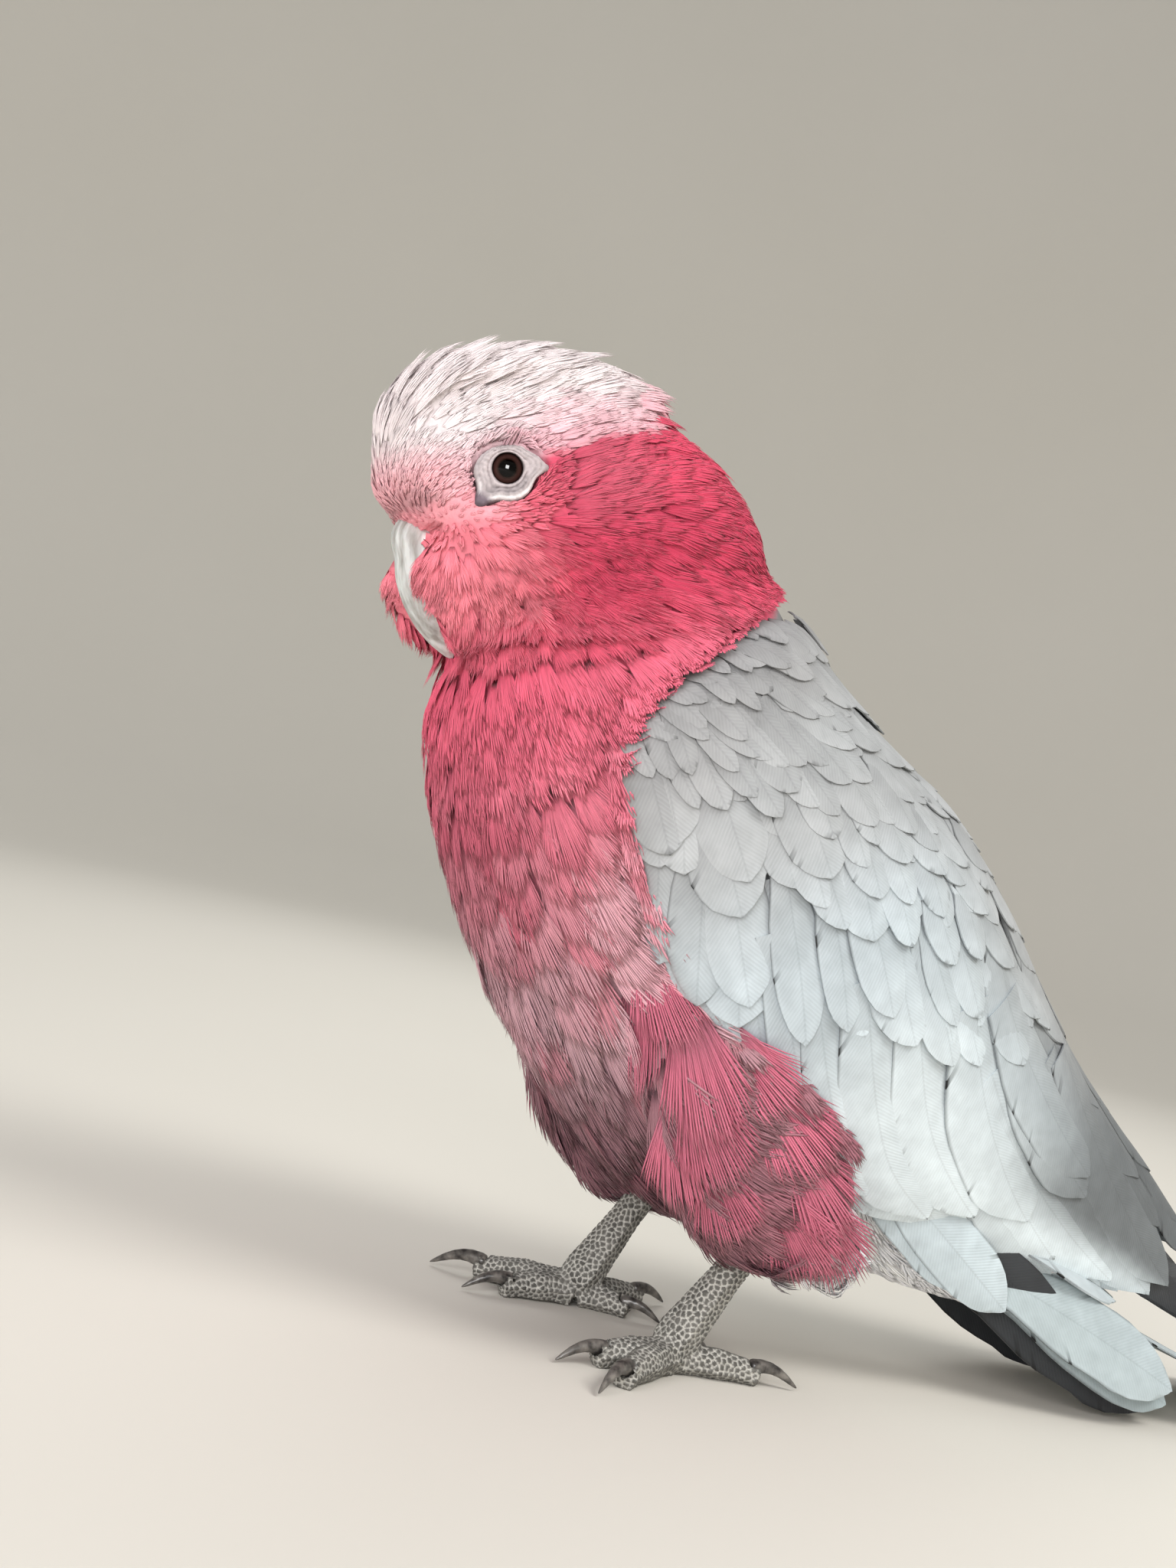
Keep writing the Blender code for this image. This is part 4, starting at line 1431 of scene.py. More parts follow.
    def scatter(self) -> tuple[Array, Array, Array]:
        """Scatter roots over the flesh, spaced by zone.

        Returns:
            Points, unit normals and zone numbers.
        """
        chance = np.random.default_rng(5)
        made = self.grown
        corners = np.concatenate([made.faces[:, :3], made.faces[:, (0, 2, 3)]])
        a, b, c = (made.points[corners[:, k]] for k in range(3))
        area = np.linalg.norm(np.cross(b - a, c - a), axis=1)
        pick = chance.choice(len(corners), self.candidates, p=area / area.sum())
        u, v = chance.random((2, len(pick)))
        flip = u + v > 1
        u, v = np.where(flip, 1 - u, u), np.where(flip, 1 - v, v)
        points = a[pick] + (b - a)[pick] * u[:, None] + (c - a)[pick] * v[:, None]
        normals = unit(made.normals[corners[pick, 0]] + made.normals[corners[pick, 1]])
        keep = self.open_places(points)
        points, normals = points[keep], normals[keep]
        zone = self.zones(points)
        spacing = np.array([self.lays[z].spacing for z in Zone])[zone]
        spacing = spacing * chance.uniform(0.85, 1.1, len(spacing)) * self.growth(points, zone)
        chosen = self.spaced(points, spacing)
        return points[chosen], normals[chosen], zone[chosen]

    def growth(self, points: Array, zone: Array) -> Array:
        """Share of their full size that breast feathers have: they grow larger from the neck down."""
        on_breast = zone == list(Zone).index(Zone.BREAST)
        return np.where(on_breast, 0.7 + 0.3 * ease(-4, 36, CHART.locate(points)[0]), 1.0)

    def open_places(self, points: Array) -> Array:
        """Find which places may carry tufts: not the bill, eyes, lids or what a wing covers.

        Args:
            points: Places on the flesh.

        Returns:
            True for each that may.
        """
        s, a, _ = CHART.locate(points)
        lower = CHART.values(s)[5]
        back = (np.abs(a) < 58) & (s > 92)
        keep = (s < shoulder_end(a) - 1.4) | (np.abs(a) > lower - 1 + 5 * ease(96, 104, s)) | back
        keep &= (ring_share(points) > 0.97) & (bill_window(points, 0.2) < 0.5)
        for name in self.skin.firm[:2]:
            tree = node_tree(name)
            near = np.array([tree.find_nearest(Vector(p))[3] for p in points[keep]])
            inside = keep.nonzero()[0]
            keep[inside[near < 0.5]] = False
        return keep

    def spaced(self, points: Array, spacing: Array) -> Array:
        """Keep points no closer to each other than their spacing.

        Args:
            points: Candidates in random order.
            spacing: Millimetres for each.

        Returns:
            Numbers of the kept points.
        """
        cell = float(spacing.max())
        cells: dict[tuple[int, int, int], list[int]] = {}
        kept = []
        around = [(i, j, k) for i in (-1, 0, 1) for j in (-1, 0, 1) for k in (-1, 0, 1)]
        places = np.floor(points / cell).astype(int).tolist()
        rows, reaches = points.tolist(), (spacing**2).tolist()
        for number, ((i, j, k), (x, y, z), reach) in enumerate(zip(places, rows, reaches)):
            close = (o for p, q, r in around for o in cells.get((i + p, j + q, k + r), ()))
            if all((u - x) ** 2 + (v - y) ** 2 + (w - z) ** 2 >= reach for u, v, w in close):
                cells.setdefault((i, j, k), []).append((x, y, z))
                kept.append(number)
        return np.array(kept)

    def build(self) -> None:
        """Lay every zone, then the standing tips and the long flank feathers."""
        points, normals, zones = self.scatter()
        for number, zone in enumerate(Zone):
            mine = zones == number
            if mine.any():
                self.lay(zone, points[mine], normals[mine])
        self.lay_crest()
        self.lay_flanks()

    def lay(self, zone: Zone, points: Array, normals: Array) -> None:
        """Lay one zone's tufts.

        Args:
            zone: Which part of the coat.
            points: Where they start, on the coat's level.
            normals: Unit normals there.
        """
        lay = self.lays[zone]
        chance = np.random.default_rng(len(points))
        count = len(points)
        size = chance.uniform(0.88, 1.14, count)
        roots = Roots(
            points,
            normals,
            self.flow(points, normals),
            lay.length * size,
            lay.width * size * chance.uniform(0.9, 1.12, count),
            lay.lift * chance.uniform(0.3, 1.7, count),
        )
        turn = np.radians(chance.normal(0, lay.stray, count) + 8 * grain(points, 11, 4))[:, None]
        side = np.cross(roots.heading, normals)
        roots.heading = roots.heading * np.cos(turn) + side * np.sin(turn)
        grow = self.growth(points, np.full(count, list(Zone).index(zone)))
        roots.scale(grow, grow)
        self.local_size(zone, roots)
        roots = self.trimmed(roots)
        self.join(zone.value, lay, roots, zone)

    def local_size(self, zone: Zone, roots: Roots) -> None:
        """Adjust sizes by place: short round the bill and the eye, full and raised at the ruff.

        Args:
            zone: Which part of the coat.
            roots: The tufts, changed in place.
        """
        _, y, z = HEAD.inward(roots.points).T
        s, a, _ = CHART.locate(roots.points)
        above_wing = (np.abs(a) < 117) & (s < shoulder_end(a))
        reach = np.maximum(shoulder_end(a) - s + 1.2 * grain(roots.points, 5, 6), 2.6)
        roots.length = np.where(above_wing, np.minimum(roots.length, reach), roots.length)
        if zone is Zone.CROWN:
            grow = 0.5 + 0.5 * ease(-30, -12, y)
            low = 0.72 + 0.28 * ease(2, 12, z - PLUMAGE.crown_line(y))
            roots.scale(grow * low, grow * low)
        if zone is Zone.CHEEK:
            flat = ease(-8, -2, z)
            roots.scale(1 - 0.3 * flat, 1 - 0.45 * flat)
            roots.lift += 0.9 * ease(-2, -16, y) * ease(-6, -12, z)
        if zone in (Zone.CHEEK, Zone.FACE):
            parting = np.hypot(z + 5.3, np.maximum(0, y + 18))
            roots.scale(0.46 + 0.54 * ease(0.3, 4.0, parting), 0.56 + 0.44 * ease(1.0, 6.0, parting))
        if zone in (Zone.CHEEK, Zone.EAR, Zone.NECK, Zone.FACE):
            down = np.maximum(-(roots.heading @ HEAD.turn()[:, 2]), 0.15)
            above = (z > -28) & (roots.points[:, 2] > 120)
            reach = (z + 33 + 1.4 * grain(roots.points, 4, 2)) / down
            ruff = ease(-15, -24, z) * above
            roots.lift += 2.5 * ruff * (1 - 0.5 * ease(5, 22, y))
            full = np.minimum(roots.length * (1 + 0.2 * ruff), np.maximum(reach, 2.5))
            roots.length = np.where(above, full, roots.length)

    def in_the_way(self, roots: Roots) -> Array:
        """Test whether tufts cover the bill or the eye ring.

        Args:
            roots: The tufts.

        Returns:
            True for each that does.
        """
        found = np.zeros(len(roots.points), bool)
        for share in (1.05, 0.75, 0.45):
            ends = roots.points + roots.heading * (roots.length * share)[:, None]
            side = np.cross(roots.heading, roots.normals) * (roots.width * 0.42)[:, None]
            found |= (ring_share(ends) < 1.0) | (bill_window(ends, -0.1) > 0.5)
            found |= (bill_window(ends + side, -0.3) > 0.5) | (bill_window(ends - side, -0.3) > 0.5)
        return found & (np.abs(HEAD.inward(roots.points)[:, 2]) < 45)

    def trimmed(self, roots: Roots) -> Roots:
        """Shorten tufts that would cover the bill or the eye ring, and drop those that still do.

        Args:
            roots: The tufts.

        Returns:
            Those that are left.
        """
        for _ in range(5):
            s, a, _ = CHART.locate(roots.points + roots.heading * roots.length[:, None])
            over_edge = np.abs(a) < CHART.values(s)[5] - 3 - 6 * ease(58, 70, s)
            roots.length[over_edge & (s > 10) & (s < 110) & (np.abs(a) > 70)] *= 0.8
        for _ in range(6):
            bad = self.in_the_way(roots)
            roots.length[bad] *= 0.75
            roots.width[bad] *= 0.88
        return roots.pick(~self.in_the_way(roots))

    def lay_crest(self) -> None:
        """Lay the standing tips along the crown's and the nape's outline."""
        tips, lifts = [], []
        for y, z, lift in self.crest_tips:
            for x in np.arange(-13.5, 13.6, 2.7):
                sway = 1.1 * math.sin(x * 1.9 + y)
                sway += 2.4 * math.sin(x * 4.1 + y * 1.7) if abs(x) > 3 else 0
                tips.append((x, y - 0.012 * x * x + sway, z - 0.03 * x * x))
                lifts.append(lift * (1 - (x / 19) ** 2) * (1 + 0.3 * math.sin(x * 2.3 + y)))
        ends = HEAD.outward(np.array(tips))
        starts = self.level.march(ends, self.flow, -13.0)
        points, normals = self.level.nearest(starts)
        heading = flatten_to(ends - points, normals)
        chance = np.random.default_rng(9)
        count = len(points)
        length = np.linalg.norm(ends - points, axis=1) * chance.uniform(0.95, 1.08, count)
        length = np.minimum(length, CREST_LAY.length)
        width = CREST_LAY.width * chance.uniform(0.8, 1.15, count)
        roots = Roots(points, normals, heading, length, width, np.array(lifts))
        white = HEAD.inward(ends)[:, 2] > 9
        self.join("crest", CREST_LAY, roots.pick(white), Zone.CROWN)
        self.join("nape", CREST_LAY, roots.pick(~white), Zone.NECK)

    def lay_flanks(self) -> None:
        """Lay the long feathers that fan out from each thigh over the wing's lower front."""
        for side, word in SIDES:
            rows = np.array([(*root, *tip, width) for root, tip, width in self.flank_feathers])
            rows[:, (0, 3)] *= side
            starts, ends, width = rows[:, :3], rows[:, 3:6], rows[:, 6]
            points, normals = self.level.nearest(starts)
            heading = flatten_to(ends - points, normals)
            length = np.linalg.norm(ends - points, axis=1)
            points, normals = self.level.nearest(points - heading * 5)
            length, width = length * 1.12 + 5, width * 1.15
            lift = np.linspace(3.4, 2.2, len(rows))
            roots = Roots(points, normals, heading, length, width, lift)
            self.join(f"flank_long_{word}", FLANK_LAY, roots, Zone.FLANK)

    def over_wing(self, points: Array) -> Array:
        """Extra height, in mm, that clears the wing's own feathers."""
        s, a, _ = CHART.locate(points)
        inside = ease(4, -2, np.abs(a) - CHART.values(s)[5]) * ease(-6, 2, s)
        return 2.3 * inside * ease(215, 195, s) * ease(60, 70, np.abs(a))

    def join(self, name: str, lay: Lay, roots: Roots, zone: Zone) -> None:
        """Bend every tuft over the coat's level and join them in pieces.

        Args:
            name: The piece's name without its prefix.
            lay: The kind of tuft.
            roots: The tufts.
            zone: Which part of the coat.
        """
        depth = np.maximum(self.skin.depth(roots.points), self.least_depth)
        half = (roots.length * 0.5)[:, None]
        middle, middle_up = self.level.nearest(roots.points + roots.heading * half)
        onward = flatten_to(middle - roots.points, middle_up)
        tip, tip_up = self.level.nearest(middle + onward * half)
        low = roots.points - roots.normals * (depth + self.sunk)[:, None]
        middle = middle + middle_up * (0.25 * roots.lift - 0.15 * depth + self.over_wing(middle))[:, None]
        tip = tip + tip_up * (roots.lift + self.over_wing(tip))[:, None]
        clear = (ring_share(middle) > 0.95) & (ring_share(tip) > 0.95)
        for place in (low * 0.5 + middle * 0.5, middle, tip):
            clear &= bill_window(place, -0.2) < 0.5
        roots = roots.pick(clear)
        low, middle, tip, tip_up = (place[clear] for place in (low, middle, tip, tip_up))
        colours = self.colours(zone, roots.points, tip)
        if lay is FLANK_LAY:
            shade = np.random.default_rng(4).uniform(0.86, 1.12, (len(tip), 1))
            middle_tone = srgb("CC6F85") * shade
            pale = mix(middle_tone, srgb("DDA2AE"), np.full(len(tip), 0.6))
            colours = (srgb("8E6470") * shade, middle_tone, pale)
        chance = np.random.default_rng(count_seed(name))
        kinds = chance.integers(0, self.variants, len(roots.points))
        batch = Batch(name)
        for kind in range(self.variants):
            mine = kinds == kind
            if not mine.any():
                continue
            curve = (low[mine], middle[mine], tip[mine], roots.normals[mine], tip_up[mine])
            batch.add(lay.shape(kind), curve, roots.width[mine], tuple(part[mine] for part in colours))
        batch.finish(zone)

    def colours(self, zone: Zone, roots: Array, tips: Array) -> tuple[Array, Array, Array]:
        """Colour tufts.

        Args:
            zone: Their part of the coat.
            roots: Where they start.
            tips: Where they end.

        Returns:
            Linear colours at the root, middle and tip of each.
        """
        on_head = zone in (Zone.CROWN, Zone.FACE, Zone.CHEEK, Zone.EAR)
        places = roots * 0.4 + tips * 0.6
        if zone is Zone.NECK:
            z = HEAD.inward(places)[:, 2]
            middle = mix(PLUMAGE.body(places), PLUMAGE.head(places), ease(-34, -29, z))
        else:
            middle = PLUMAGE.head(places) if on_head else PLUMAGE.body(places)
        chance = np.random.default_rng(len(roots) + 1)
        middle = middle * chance.uniform(0.92, 1.1, (len(roots), 1))
        whole = middle.min(axis=1, keepdims=True) / middle.max(axis=1, keepdims=True)
        # Roots of coloured feathers are greyer, as real feather bases are; roots of white feathers are 1.1
        # times lighter than the middle, painted light that brightens the shaded gaps between tufts.
        dark = np.array([0.8, 0.68, 0.72])
        root = middle * (dark + (1.1 - dark) * ease(0.4, 0.75, whole))
        if zone in (Zone.BREAST, Zone.BELLY):
            s = CHART.locate(roots)[0]
            share = (0.1 + 0.45 * ease(8, 46, s)) * chance.uniform(0.2, 1.4, len(roots)).clip(0, 1)
            return root, middle, mix(middle, srgb("DDB9C0"), share)
        pale = {Zone.CROWN: 0.3, Zone.FACE: 0.2, Zone.CHEEK: 0.2, Zone.EAR: 0.05, Zone.NECK: 0.08}
        tip = mix(middle, srgb("F6D3D9"), np.full(len(roots), pale.get(zone, 0.06)))
        return root, middle, tip


def count_seed(name: str) -> int:
    """A seed that depends only on a name."""
    return sum(ord(letter) * (place + 1) for place, letter in enumerate(name))


@dataclass
class Batch:
    """Collects bent tufts and joins them, as a left and a right piece above limit triangles.

    The strand pattern moves on by strand_step mm from tuft to tuft.
    """

    name: str
    limit: int = 190000
    strand_step: float = 7.31
    parts: list[tuple[Array, ...]] = field(default_factory=list)

    def add(
        self, shape: tuple[Array, Array], curve: tuple[Array, ...], width: Array, colours: tuple[Array, ...]
    ) -> None:
        """Bend one shape along many curves.

        Args:
            shape: Its points, 1 wide and 1 long, and its triangles.
            curve: Starts, points halfway, ends, and unit normals at the roots and the tips.
            width: Widths in mm.
            colours: Colours at root, middle and tip.
        """
        points, faces = shape
        low, middle, tip, root_up, tip_up = curve
        x, v, z = points.T
        pull = 2 * middle - 0.5 * (low + tip)
        t = v[None, :, None]
        line = (1 - t) ** 2 * low[:, None] + 2 * t * (1 - t) * pull[:, None] + t**2 * tip[:, None]
        up = unit(root_up[:, None] * (1 - t) + tip_up[:, None] * t)
        run = unit(tip - low)
        side = unit(np.cross(np.broadcast_to(run[:, None], up.shape), up))
        span = width[:, None, None]
        placed = line + side * x[None, :, None] * span + up * z[None, :, None] * span
        root, mid, end = (c[:, None, :] for c in colours)
        colour = root + (mid - root) * ease(0.0, 0.5, t) + (end - mid) * ease(0.72, 1.0, t)
        count, tufts = len(points), len(low)
        triangles = faces[None] + np.arange(tufts)[:, None, None] * count
        roots = np.repeat(low, count, axis=0)
        local = np.tile(np.column_stack([x, v]), (tufts, 1))
        long = np.linalg.norm(tip - low, axis=1)
        apart = np.arange(tufts)[:, None] * self.strand_step
        strand = np.stack([x[None] * width[:, None] + apart, v[None] * long[:, None]], -1)
        made = (placed, triangles, colour, roots, local, strand)
        self.parts.append(tuple(part.reshape(-1, part.shape[-1]) for part in made))

    def finish(self, zone: Zone) -> None:
        """Join what was collected, split by side where it is large.

        Args:
            zone: Which part of the coat it is.
        """
        start, triangles = 0, []
        for part in self.parts:
            triangles.append(part[1] + start)
            start += len(part[0])
        triangles = np.concatenate(triangles)
        kept = (0, 2, 3, 4, 5)
        placed, colour, roots, local, strand = (np.concatenate([p[k] for p in self.parts]) for k in kept)
        groups = [(self.name, np.ones(len(triangles), bool))]
        if len(triangles) > self.limit:
            left = roots[triangles[:, 0], 0] > 0
            groups = [(f"{self.name}_left", left), (f"{self.name}_right", ~left)]
        for name, mine in groups:
            used, faces = np.unique(triangles[mine], return_inverse=True)
            mesh = joined_mesh(f"coat_{name}", placed[used], faces.reshape(-1, 3))
            paint(mesh, colour[used])
            add_uv(mesh, "OFBake", bake_places(roots[used], local[used], zone))
            add_uv(mesh, "Strand", strand[used])
            dressed(new_piece(f"coat_{name}", mesh), CONTOUR)


MAP_EDGE, MAP_REACH, MAP_PATCH = 0.01, 0.975, 0.003


def bake_places(roots: Array, local: Array, zone: Zone) -> Array:
    """Places on an unwrap round the body's or the head's own axis, a small patch for each tuft.

    Args:
        roots: Each vertex's root in mm.
        local: Each vertex's place in its tuft.
        zone: Chooses the axis.

    Returns:
        UV places from 0 to 1.
    """
    if zone in (Zone.CROWN, Zone.FACE, Zone.CHEEK, Zone.EAR):
        x, y, z = HEAD.inward(roots).T
        flat = np.column_stack([np.arctan2(x, -(z + 6)), y])
    else:
        s, a, _ = CHART.locate(roots)
        flat = np.column_stack([np.mod(a, 360), s])
    low, high = flat.min(0), flat.max(0)
    flat = MAP_EDGE + MAP_REACH * (flat - low) / np.maximum(high - low, 1e-6)
    return flat + local * MAP_PATCH


# --- wings


@dataclass(frozen=True)
class Row:
    """One row of overlapping wing feathers.

    Attributes:
        name: The row's name.
        tips: (s, a) of the tips from the lower front to the upper back.
        count: How many feathers.
        length: Millimetres at the row's start and end.
        width: Millimetres at the row's start and end.
        turn: Degrees that the feathers point down from the wing's line, at the start and the end.
        high: Millimetres of the tips above the wing's face.
        vane: The feather's shape.
        shade: Brightness against the wing's colour.
        tilt: How far the lower edge of each feather lies over the next, in mm.
    """

    name: str
    tips: tuple[tuple[float, float], ...]
    count: int
    length: tuple[float, float]
    width: tuple[float, float]
    turn: tuple[float, float]
    high: float
    vane: Vane = Vane()
    shade: float = 1.0
    tilt: float = 0.5


COVERT = Vane(8, 8, 0.55, 0.5, 0.0, 0.05, 0.05)
GREAT_COVERT = Vane(8, 9, 0.6, 0.6, 0.05, 0.04, 0.03)
QUILL = Vane(8, 16, 0.7, 0.8, 0.2, 0.04, 0.02)
LANCE = Vane(8, 10, 0.5, 0.5, 0.3, 0.05, 0.03)

# Feathers that show on a folded wing: (s, a) of the tip, uncovered length, width in mm, and
# degrees that the feather points down from the wing's line.
PLACED = (
    (4, 58, 5, 4.1, 38), (8, 52, 5, 7.2, 24), (15, 42, 9, 8.1, -30), (12, 57, 7, 7.2, -15),
    (8, 70, 6, 5.1, 16), (6, 75, 4, 4.5, 0), (17, 50, 9, 7.6, -27), (6, 80, 3, 4.6, -19),
    (11, 80, 5, 4.9, 0), (8, 86, 4, 4.7, -23), (15, 74, 7, 4.5, -11), (7, 90, 3, 4.1, -10),
    (12, 90, 6, 4.9, -12), (16, 83, 7, 6.2, -11), (18, 82, 7, 5.7, -14), (11, 98, 4, 5.2, -24),
    (14, 91, 6, 4.8, -18), (22, 81, 8, 5.6, -19), (17, 104, 7, 6.7, 16), (18, 99, 6, 5.3, 12),
    (15, 108, 5, 5.2, 0), (27, 95, 8, 7.7, 4), (28, 87, 8, 7.0, -4), (24, 101, 6, 4.7, 0),
    (22, 88, 6, 4.9, -12), (27, 75, 8, 7.2, -13), (29, 70, 9, 8.3, -12), (32, 77, 9, 10.7, 4),
    (32, 64, 9, 7.6, -12), (38, 61, 9, 9.8, -4), (41, 54, 8, 8.1, -14), (24, 78, 8, 5.8, -19),
    (34, 84, 9, 7.7, 0), (37, 74, 8, 9.3, 5), (44, 75, 8, 10.6, 20), (48, 63, 9, 12.0, 17),
    (51, 57, 8, 8.8, 10), (56, 54, 9, 12.6, 27), (41, 70, 7, 7.4, 0), (51, 66, 7, 10.0, 36),
    (59, 62, 9, 11.6, 24), (53, 72, 6, 9.2, 27), (68, 54, 10, 12.7, 20), (63, 51, 6, 11.2, 27),
    (28, 109, 12, 12.7, 15), (29, 112, 10, 12.3, 11), (41, 98, 14, 14.2, 11), (46, 103, 13, 15.1, 12),
    (50, 81, 14, 15.7, 17), (54, 86, 12, 11.5, 21), (60, 74, 11, 12.1, 28), (66, 68, 9, 8.8, 24),
    (74, 62, 10, 11.1, 30), (84, 47, 12, 13.6, 14), (74, 49, 7, 9.2, 6), (66, 81, 11, 13.9, 28),
    (73, 74, 11, 9.6, 25), (84, 66, 10, 10.2, 21), (89, 58, 9, 9.9, 28), (60, 85, 11, 10.6, 19),
    (47, 33, 18, 11.3, -16), (29, 37, 16, 10.2, -22), (52, 45, 15, 12.3, 13), (34, 51, 16, 8.8, -25),
    (31, 47, 16, 8.2, -29), (24, 57, 14, 7.3, -21), (39, 41, 13, 9.0, -20), (26, 50, 13, 6.6, -31),
    (67, 29, 15, 15.3, 40), (73, 43, 16, 10.7, 0), (61, 46, 11, 10.4, 11), (79, 35, 7, 14.1, 31),
    (83, 38, 11, 13.7, 24), (57, 121, 24, 12.2, 29), (75, 105, 28, 9.8, 25), (78, 96, 22, 8.9, 26),
    (91, 85, 26, 16.1, 20), (102, 80, 25, 13.2, 23), (108, 74, 23, 11.3, 23), (119, 63, 24, 16.1, 27),
    (62, 111, 25, 13.0, 20), (98, 77, 14, 9.0, 22), (95, 74, 13, 8.1, 17), (100, 46, 12, 11.1, 3),
    (84, 66, 9, 9.9, 19), (99, 67, 13, 11.1, 20), (117, 45, 18, 9.2, -4), (82, 86, 21, 11.8, 21),
    (103, 118, 42, 9.3, 19), (114, 117, 41, 9.7, 21), (131, 117, 53, 14.3, 24), (140, 110, 51, 14.3, 25),
    (152, 102, 51, 17.1, 26), (158, 72, 45, 16.5, 12), (161, 80, 40, 15.1, 16), (187, 108, 65, 16.2, 15),
    (190, 126, 64, 16.0, 18), (200, 103, 66, 17.5, 18), (203, 89, 64, 17.1, 18), (178, 127, 62, 17, 26),
    (172, 122, 60, 15, 26), (168, 112, 58, 15, 24),
)


@dataclass(frozen=True)
class Loose:
    """A feather that hangs free of the even rows, in mm on the left side.

    Attributes:
        face: The way that its outer face looks.
        pale: Colour towards its root.
        end: Colour towards its tip.
    """

    root: Place
    tip: Place
    face: Place
    width: float
    pale: str
    end: str

    def lay(self, sheaf: "Sheaf", side: int, number: int) -> None:
        """Add the feather to a sheaf.

        Args:
            sheaf: Where to add it.
            side: 1 for the left side and -1 for the right.
            number: Chooses its ragged rim.
        """
        root, tip, face = (np.array(part) * (side, 1, 1) for part in (self.root, self.tip, self.face))
        points, faces, rim = Vane(8, 14, 0.6, 0.72, 0.12, 0.08).shape(0.45 / self.width, number, 4.0)
        x, v, z = points.T
        run = tip - root
        length = float(np.linalg.norm(run))
        out = unit(face - run * (face @ run) / length**2)
        across = np.cross(run / length, out)
        placed = root + v[:, None] * run + (x * self.width)[:, None] * across
        placed = placed + (z * self.width + 0.06 * length * 4 * v * (1 - v) * 0.5)[:, None] * out
        placed[:, 2] = np.maximum(placed[:, 2], 0.2)
        colour = mix(np.broadcast_to(srgb(self.pale), placed.shape), srgb(self.end), ease(0.3, 0.95, v))
        sheaf.add(placed, faces, colour, x * self.width, v * length, rim)


